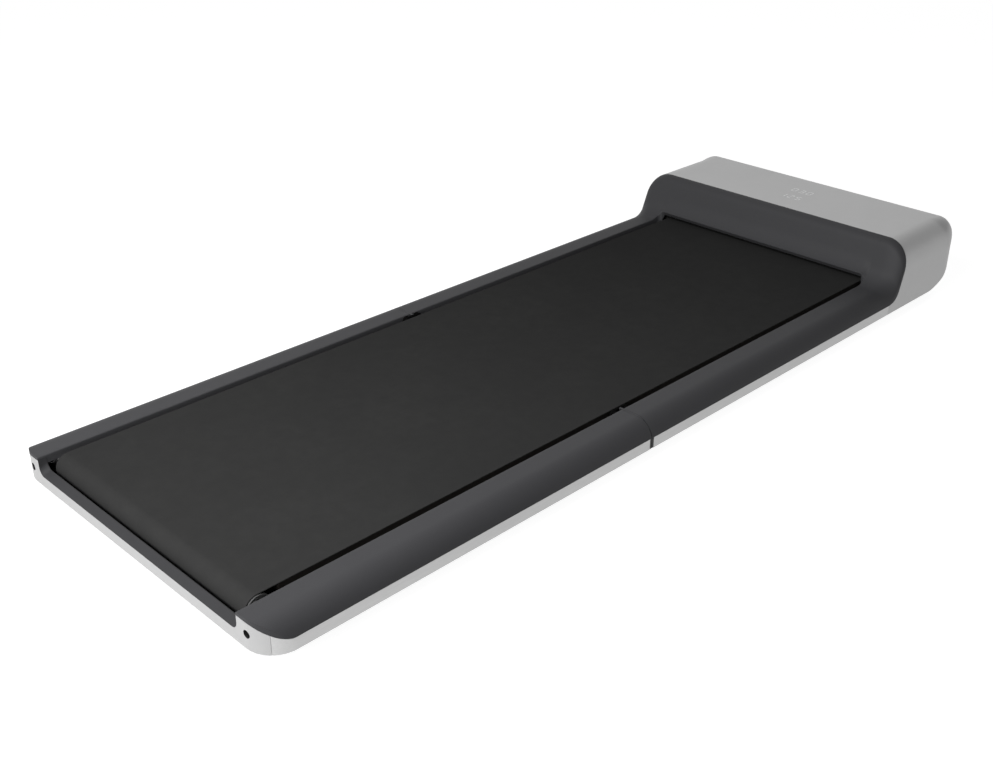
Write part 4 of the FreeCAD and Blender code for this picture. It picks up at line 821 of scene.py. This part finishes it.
def tail_cap():
    """Silver end of the rear half: a wall along the rounded tail outline, as high as the ear line.

    A fine joint on each rounded corner parts the end from the two corner pieces.
    """
    middle_x, middle_y = -HALF_LENGTH + PLAN_ROUND, HALF_WIDTH - PLAN_ROUND
    turns = [
        np.linspace(0, JOINT_TURN - JOINT_GAP, 14), np.linspace(JOINT_TURN + JOINT_GAP, np.pi / 2, 12),
    ]
    corner = [(middle_x - PLAN_ROUND * np.sin(t), middle_y + PLAN_ROUND * np.cos(t)) for t in turns]
    fillet = COVER_Y - TAIL_FILLET * (1 - np.cos(np.linspace(0, np.pi / 2, 12)))
    y_face = np.concatenate([
        np.linspace(middle_y, COVER_Y + 0.25, 8), fillet, np.linspace(COVER_Y - TAIL_FILLET, 0, 24)[1:],
    ])
    x_end = np.concatenate([corner[1][0], np.full(len(y_face) - 1, -HALF_LENGTH)])
    y_end = np.concatenate([corner[1][1], y_face[1:]])
    x_end = np.concatenate([x_end, x_end[-2::-1]])[:, None]
    y_end = np.concatenate([y_end, -y_end[-2::-1]])[:, None]
    rise = np.linspace(0, 1, 9)[None, :]
    runs = [(x_end, y_end)] + [(corner[0][0][:, None], side * corner[0][1][:, None]) for side in (1, -1)]
    walls = [patch(x, y, RAIL_Z + (ear_top(y) - RAIL_Z) * rise) for x, y in runs]
    mesh = raw_mesh("tail_cap_wall", walls[:1])
    turn_out(mesh, (-1, 0, 0))
    piece = thicken(add_object("tail_cap_wall", mesh, SILVER), TAIL_WALL)
    holes = [
        bar_x(circle(side * ACCESS_Y, ROLLER_Z, ACCESS_RADIUS, 40), -HALF_LENGTH - 10, -HALF_LENGTH + 10)
        for side in (1, -1)
    ]
    carve(piece, holes, BLACK_PLASTIC)
    soften(piece.data)
    stand_for(piece, "rear_half", "tail_cap")
    for label, wall, side in (("left", walls[1], 1), ("right", walls[2], -1)):
        mesh = raw_mesh("tail_corner_" + label, [wall])
        turn_out(mesh, (-0.5, side, 0))
        part = thicken(add_object("tail_corner_" + label, mesh, RAIL_METAL), TAIL_WALL)
        soften(part.data)
        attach(part, "rear_half")
    return piece


def tail_strip():
    """Dark lining inside the tail's edge.

    A section rises from the silver's edge to a rounded crest and turns down in front of the belt. It runs
    along the bar, round a fillet at each end, where it leans over into the cover's wall, and on upright.
    """
    arc = np.append(np.linspace(0, np.pi / 2, 13), [np.pi / 2, np.pi / 2])
    turn = np.concatenate([-arc[::-1], [0.0], arc])
    flat = np.concatenate([np.full(15, -1.0), [0.0], np.full(15, 1.0)])
    rise = np.append(np.zeros(13), [0.5, 1.0])
    rise = np.concatenate([rise[::-1], [0.0], rise])
    start = COVER_Y - TAIL_FILLET
    bend = TAIL_FILLET - 0.4
    edge_y = flat * start + TAIL_FILLET * np.sin(turn)
    edge_z = TAIL_BAR_Z + TAIL_FILLET * (1 - np.cos(turn))
    edge_z = edge_z + (LINING_TOP - edge_z) * rise
    crest_y = flat * start + bend * np.sin(turn)
    crest_z = TAIL_BAR_Z + STRIP_RISE + bend * (1 - np.cos(turn))
    crest_z = crest_z + (LINING_TOP - crest_z) * rise
    up_y, up_z = -np.sin(turn), np.cos(turn)
    tail, crest, half = -HALF_LENGTH, -HALF_LENGTH + STRIP_DEPTH, STRIP_SHEET / 2
    deep = 1.5 + (TAIL_BAR_Z + STRIP_RISE - STRIP_FOOT - 1.5) * np.cos(turn) ** 2
    crown = [(math.cos(a), math.sin(a) - 1) for a in np.linspace(0.62 * np.pi, 0, 9)]
    columns = [(tail + 0.05, edge_y + 0.05 * up_y, edge_z + 0.05 * up_z)]
    columns += [
        (crest + half * ahead, crest_y + up_y * half * above, crest_z + up_z * half * above)
        for ahead, above in crown
    ]
    columns += [
        (crest + half, crest_y - up_y * deep, crest_z - up_z * deep),
        (crest - half, crest_y - up_y * deep, crest_z - up_z * deep),
        (crest - half, crest_y - up_y * STRIP_SHEET, crest_z - up_z * STRIP_SHEET),
        (tail + TAIL_WALL, edge_y + 0.05 * up_y, edge_z + 0.05 * up_z),
    ]
    grid = np.stack([np.stack(np.broadcast_arrays(*column), -1) for column in columns], 1)
    mesh = raw_mesh("tail_strip_sheet", [(grid, {"round_columns": True})], [grid[0], grid[-1]])
    piece = add_object("tail_strip_sheet", mesh, STRIP_PLASTIC)
    soften(piece.data)
    return stand_for(piece, "rear_half", "tail_strip")


# Belt
def belt_half(name, node, half, roller_x):
    """Half of the belt: a loop line from the seam over the deck, round the roller and back, drawn across.

    The line has an outer and an inner face, joined at the belt's edges and at the seam, and carries its own
    map in metres.
    """
    bend = np.linspace(0, 1, 26)
    reach = abs(roller_x - SEAM_X)
    near = 30.0
    top_run = np.concatenate([near * bend, dense([near, reach], [60])[1:]])
    turn = np.linspace(0, np.pi, 33)[1:-1]
    x_line = np.concatenate([
        SEAM_X + half * top_run, roller_x + half * BELT_RADIUS * np.sin(turn), SEAM_X + half * top_run[::-1],
    ])
    z_line = np.concatenate([
        np.full(len(top_run), ROLLER_Z + BELT_RADIUS), ROLLER_Z + BELT_RADIUS * np.cos(turn),
        np.full(len(top_run), ROLLER_Z - BELT_RADIUS),
    ])
    normal_x = np.concatenate([0 * top_run, half * np.sin(turn), 0 * top_run])
    normal_z = np.concatenate([0 * top_run + 1, np.cos(turn), 0 * top_run - 1])
    length = np.append(0, np.cumsum(np.hypot(np.diff(x_line), np.diff(z_line))))
    face = np.linspace(-1, 1, 25) * (BELT_HALF - BELT_EDGE)
    flank = np.array([BELT_EDGE, BELT_THICK - BELT_EDGE])
    y = np.concatenate([face, [BELT_HALF, BELT_HALF], face[::-1], [-BELT_HALF, -BELT_HALF]])
    deep = np.concatenate([0 * face, flank, 0 * face + BELT_THICK, flank[::-1]])
    x = x_line[:, None] - normal_x[:, None] * deep
    z = z_line[:, None] - normal_z[:, None] * deep
    grid, rounds = patch(x, y + 0 * x, z, round_columns=True)
    mesh = bpy.data.meshes.new(name)
    rows, columns = grid.shape[:2]
    quads = grid_quads(rows, columns, **rounds)
    ends = np.arange(rows * columns).reshape(rows, columns)[[0, -1]]
    mesh.from_pydata((grid.reshape(-1, 3) * MM).tolist(), [], quads.tolist() + ends.tolist())
    run = mesh.uv_layers.new(name="run")
    corner = np.append(quads.ravel(), ends.ravel())
    spread = np.stack(np.broadcast_arrays(half * length[:, None], y[None, :]), -1).reshape(-1, 2) * MM
    run.data.foreach_set("uv", spread[corner].ravel())
    turn_out_closed(mesh)
    soften(mesh)
    piece = add_object(name, mesh, BELT)
    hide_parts(node)
    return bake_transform(piece)


# Small pieces
def pan_sheet():
    """Front tray with its two corners under the head rounded, to stay inside the shell's rounded sole."""
    low, high = (np.array(corner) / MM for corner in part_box("front_pan"))
    form = bmesh.new()
    form.from_mesh(frame["nodes"]["front_pan"].data)
    bmesh.ops.remove_doubles(form, verts=form.verts, dist=1e-6)
    form.verts.index_update()
    mesh = bpy.data.meshes.new("pan_sheet_front")
    faces = [[vertex.index for vertex in face.verts] for face in form.faces]
    mesh.from_pydata([vertex.co[:] for vertex in form.verts], [], faces)
    form.free()
    piece = add_object("pan_sheet_front", mesh, BLACK_STEEL)
    turn = np.linspace(0, np.pi / 2, 17)
    middle_x, middle_y = high[0] - PAN_CORNER, high[1] - PAN_CORNER
    low, high = low - CUT_OVER, high + CUT_OVER
    x = np.append(middle_x + PAN_CORNER * np.sin(turn), [high[0], high[0], middle_x])
    y = np.append(middle_y + PAN_CORNER * np.cos(turn), [middle_y, high[1], high[1]])
    levels = np.array([[low[2]], [high[2]]])
    cutters = []
    for side in (1, -1):
        walls = patch(x[None, :], side * y[None, :], levels, round_columns=True)
        lids = [np.column_stack([x, side * y, np.full(len(x), level)]) for level in levels[:, 0]]
        cutters.append(raw_mesh("corner", [walls], lids))
    carve(piece, cutters)
    soften(piece.data, 30)
    return stand_for(piece, "front_half", "front_pan")


FIGURE_ROWS = ("125", "030")
FIGURE_STROKES = {"0": "abcdef", "1": "bc", "2": "abged", "3": "abgcd", "5": "afgcd"}
FIGURE_X, ROW_PITCH, FIGURE_PITCH = 620.0, 36.0, 15.0
FIGURE_TALL, FIGURE_WIDE, STROKE, STROKE_GAP = 15.0, 8.0, 1.8, 0.4


def lit_figures():
    """Lit strokes: six-cornered bars, a hair proud of the head's top, placed as on a seven-stroke figure."""
    long, wide, half = FIGURE_TALL / 2, FIGURE_WIDE / 2, STROKE / 2
    lying = {"a": long, "g": 0.0, "d": -long}
    standing = {"f": (1, 1), "b": (1, -1), "e": (-1, 1), "c": (-1, -1)}
    tops = []
    for row, text in enumerate(FIGURE_ROWS):
        x = FIGURE_X + ROW_PITCH * (row - 0.5)
        for column, figure in enumerate(text):
            y = FIGURE_PITCH * (1 - column)
            for stroke in FIGURE_STROKES[figure]:
                if stroke in lying:
                    mid, reach = (x + lying[stroke], y), (0, wide - STROKE_GAP)
                else:
                    up, left = standing[stroke]
                    mid, reach = (x + up * long / 2, y + left * wide), (long / 2 - STROKE_GAP, 0)
                run = np.array(reach)
                flank = half * np.array([run[1] > 0, run[0] > 0], float)
                inset = run - half * np.sign(run)
                tops.append(np.array(mid) + np.array([
                    run, inset + flank, -inset + flank, -run, -inset - flank, inset - flank,
                ]))
    tops = np.array(tops)
    low, high = HEIGHT - 0.5, HEIGHT + 0.06
    patches = [
        patch(t[None, :, 0], t[None, :, 1], np.array([[low], [high]]), round_columns=True) for t in tops
    ]
    lids = [np.column_stack([t, np.full(6, level)]) for t in tops for level in (low, high)]
    piece = add_object("lit_figures", raw_mesh("lit_figures", patches, lids), LIT)
    return stand_for(piece, "front_half", "display_figures")


def wheel(side, label):
    """Transport wheel: a closed profile with a twice grooved tread and a dished hub, turned round its pin."""
    half, r = WHEEL_WIDTH / 2, WHEEL_RADIUS
    right = [
        (3.1, 6.2), (6.0, 6.2), (7.0, 5.0), (13.0, 5.0), (14.2, half - 0.2), (16.5, half),
        (18.2, half - 0.5), (r - 0.2, half - 1.8), (r, 4.6), (r - 0.3, 4.0), (r - 1.2, 3.7),
        (r - 1.2, 1.8), (r - 0.3, 1.5), (r, 1.0),
    ]
    profile = right + [(a, -b) for a, b in reversed(right)]
    mesh = raw_mesh("wheel_tread_" + label, [lathe_y(profile, WHEEL_X, WHEEL_Z, side * WHEEL_Y)])
    piece = add_object("wheel_tread_" + label, mesh, RUBBER)
    soften(mesh, 30)
    return stand_for(piece, label + "_wheel", label + "_wheel")


def feet(name, node, body, rows):
    """Rubber feet: a profile with a soft lower edge, a groove and a dished sole, turned round each axis."""
    profile = [
        (0, 10.0), (13.2, 10.0), (13.8, 9.6), (14, 9.0), (14, 6.4), (13.5, 6.0), (13.5, 5.2), (14, 4.8),
        (14, 1.6), (13.5, 0.5), (12.2, 0), (6.5, 0), (5.6, 0.8), (4.6, 2.2), (0, 2.2),
    ]
    mesh = raw_mesh(name, [lathe_z(profile, x, y) for x in rows for y in (FOOT_Y, -FOOT_Y)])
    piece = add_object(name, mesh, RUBBER)
    soften(mesh, 30)
    return stand_for(piece, body, node)


front_moulding()
head_shell()
rear_cover("rear_cover_left", "rear_left_cover", 1)
rear_cover("rear_cover_right", "rear_right_cover", -1)
tail_cap()
tail_strip()
belt_half("belt_front_run", "front_belt", FRONT, DRIVE_X)
belt_half("belt_rear_run", "rear_belt", REAR, REAR_X)
pan_sheet()
lit_figures()
wheel(1, "left")
wheel(-1, "right")
feet("feet_front", "front_feet", "front_half", FRONT_FEET_X)
feet("feet_rear", "rear_feet", "rear_half", REAR_FEET_X)

# Finishes of the solids that stay as they are
NODE_FINISHES = {
    RAIL_METAL: ("front_left_rail", "front_right_rail", "rear_left_rail", "rear_right_rail"),
    DECK_BOARD: ("front_deck", "rear_deck"),
    RUBBER: ("front_deck_pads", "rear_deck_pads", "drive_belt", "inner_cable"),
    STEEL: (
        "front_deck_screws", "rear_deck_screws", "front_pan_screws", "rear_pan_screws", "rear_axle",
        "rear_bearings", "motor_rotor",
    ),
    ROLLER_STEEL: ("drive_roller", "rear_roller"),
    BLACK_STEEL: ("front_beams", "rear_beams", "rear_pan", "wheel_brackets", "motor_mount"),
    HINGE_BLACK: (
        "front_hinge_brackets", "rear_hinge_brackets", "front_hinge_pins", "rear_hinge_pins", "hinge_links",
        "tension_stands", "left_tension_bolt", "right_tension_bolt",
    ),
    DARK_COVER: ("seam_strips",),
    ALLOY: ("bearing_blocks", "axle_blocks", "driven_pulley", "motor_pulley", "motor_housing", "heat_sink"),
    BLACK_PLASTIC: ("front_end_caps", "rear_end_caps", "power_inlet", "switch_frame"),
    SWITCH_PLASTIC: ("switch_rocker",),
    CIRCUIT: ("control_board", "display_board"),
}
for material, names in NODE_FINISHES.items():
    for node in names:
        mesh = frame["nodes"][node].data
        mesh.materials.clear()
        mesh.materials.append(material)


# Stage, light and camera
FLOOR_GREY, FLOOR_GLOW, FLOOR_REACH = 0.3, 0.93, 30.0
WORLD_LIGHT, DIM_LIGHT, DIM_SIDE, DIM_EDGE = 0.2, 0.22, (0.3, -0.4, 0.87), (0.6, 0.88)
PHOTO_WIDTH, PHOTO_FOCUS, PHOTO_EYE = 993, 1254.49, (-1.25171, -1.12828, 0.86233)
PHOTO_TURN, PHOTO_RISE, PHOTO_ROLL = (math.radians(angle) for angle in (-44.887, 27.571, 0.182))


def seen_directly(tree):
    """Mask that is 1 for rays from the camera and rays by way of gloss or glass."""
    path = tree.nodes.new("ShaderNodeLightPath")
    seen = math_node(tree, "MAXIMUM", path.outputs["Is Camera Ray"], path.outputs["Is Glossy Ray"])
    return math_node(tree, "MAXIMUM", seen, path.outputs["Is Transmission Ray"])


def floor():
    """Wide level square that glows white for what looks at it directly or in gloss, and keeps shadows."""
    mesh = bpy.data.meshes.new("floor")
    far = FLOOR_REACH
    mesh.from_pydata([(-far, -far, 0), (far, -far, 0), (far, far, 0), (-far, far, 0)], [], [(0, 1, 2, 3)])
    finish = Finish("pale_floor", roughness=0.9, specular=0.0)
    finish.shader.inputs["Base Color"].default_value = (FLOOR_GREY, FLOOR_GREY, FLOOR_GREY, 1)
    finish.shader.inputs["Emission Color"].default_value = (1, 1, 1, 1)
    glow = math_node(finish.tree, "MULTIPLY", seen_directly(finish.tree), FLOOR_GLOW)
    finish.tree.links.new(glow, finish.shader.inputs["Emission Strength"])
    add_object("floor", mesh, finish.material)


def world():
    """Even soft light; the camera sees it as white, and gloss as white with one grey zone high up."""
    scene = bpy.context.scene
    scene.world = bpy.data.worlds.new("studio")
    scene.world.use_nodes = True
    tree = scene.world.node_tree
    back = tree.nodes["Background"]
    back.inputs["Color"].default_value = (1, 1, 1, 1)
    share = tree.nodes.new("ShaderNodeVectorMath")
    share.operation = "DOT_PRODUCT"
    tree.links.new(tree.nodes.new("ShaderNodeTexCoord").outputs["Generated"], share.inputs[0])
    share.inputs[1].default_value = DIM_SIDE
    fade = tree.nodes.new("ShaderNodeMapRange")
    fade.interpolation_type = "SMOOTHSTEP"
    tree.links.new(share.outputs["Value"], fade.inputs["Value"])
    ends = {"From Min": DIM_EDGE[0], "From Max": DIM_EDGE[1], "To Min": 1.0, "To Max": DIM_LIGHT}
    for label, value in ends.items():
        fade.inputs[label].default_value = value
    path = tree.nodes.new("ShaderNodeLightPath")
    level = math_node(tree, "MAXIMUM", fade.outputs["Result"], path.outputs["Is Camera Ray"])
    extra = math_node(tree, "SUBTRACT", level, WORLD_LIGHT)
    shown = math_node(tree, "MULTIPLY", seen_directly(tree), extra)
    tree.links.new(math_node(tree, "ADD", shown, WORLD_LIGHT), back.inputs["Strength"])


def lamp(name, place, aim, size, power):
    """Square soft lamp that looks from its place at a point."""
    light = bpy.data.lights.new(name, "AREA")
    light.shape = "SQUARE"
    light.size = size
    light.energy = power
    thing = bpy.data.objects.new(name, light)
    thing.location = place
    thing.rotation_euler = (Vector(aim) - Vector(place)).to_track_quat("-Z", "Y").to_euler()
    bpy.context.scene.collection.objects.link(thing)


def camera():
    """Camera of the photograph's view: turned by azimuth, elevation and a slight roll."""
    turn, rise, roll = PHOTO_TURN, PHOTO_RISE, PHOTO_ROLL
    back = np.array([math.sin(turn) * math.cos(rise), -math.cos(turn) * math.cos(rise), math.sin(rise)])
    right = np.array([math.cos(turn), math.sin(turn), 0.0])
    up = np.cross(back, right)
    right, up = (
        math.cos(roll) * right + math.sin(roll) * up, math.cos(roll) * up - math.sin(roll) * right,
    )
    lens = bpy.data.cameras.new("camera")
    lens.sensor_width = 36.0
    lens.lens = lens.sensor_width * PHOTO_FOCUS / PHOTO_WIDTH
    lens.clip_end = 200
    thing = bpy.data.objects.new("camera", lens)
    basis = Matrix(np.stack([right, up, back], 1).tolist()).to_4x4()
    thing.matrix_world = Matrix.Translation(PHOTO_EYE) @ basis
    bpy.context.scene.collection.objects.link(thing)
    bpy.context.scene.camera = thing


bpy.context.scene.view_settings.view_transform = "Standard"
floor()
world()
lamp("key_lamp", (-1.0, -0.1, 1.15), (-0.4, 0.0, 0.0), 0.8, 17.4)
lamp("tail_fill", (-2.6, -0.55, 0.75), (0.2, 0.0, 0.05), 0.9, 29.0)
camera()
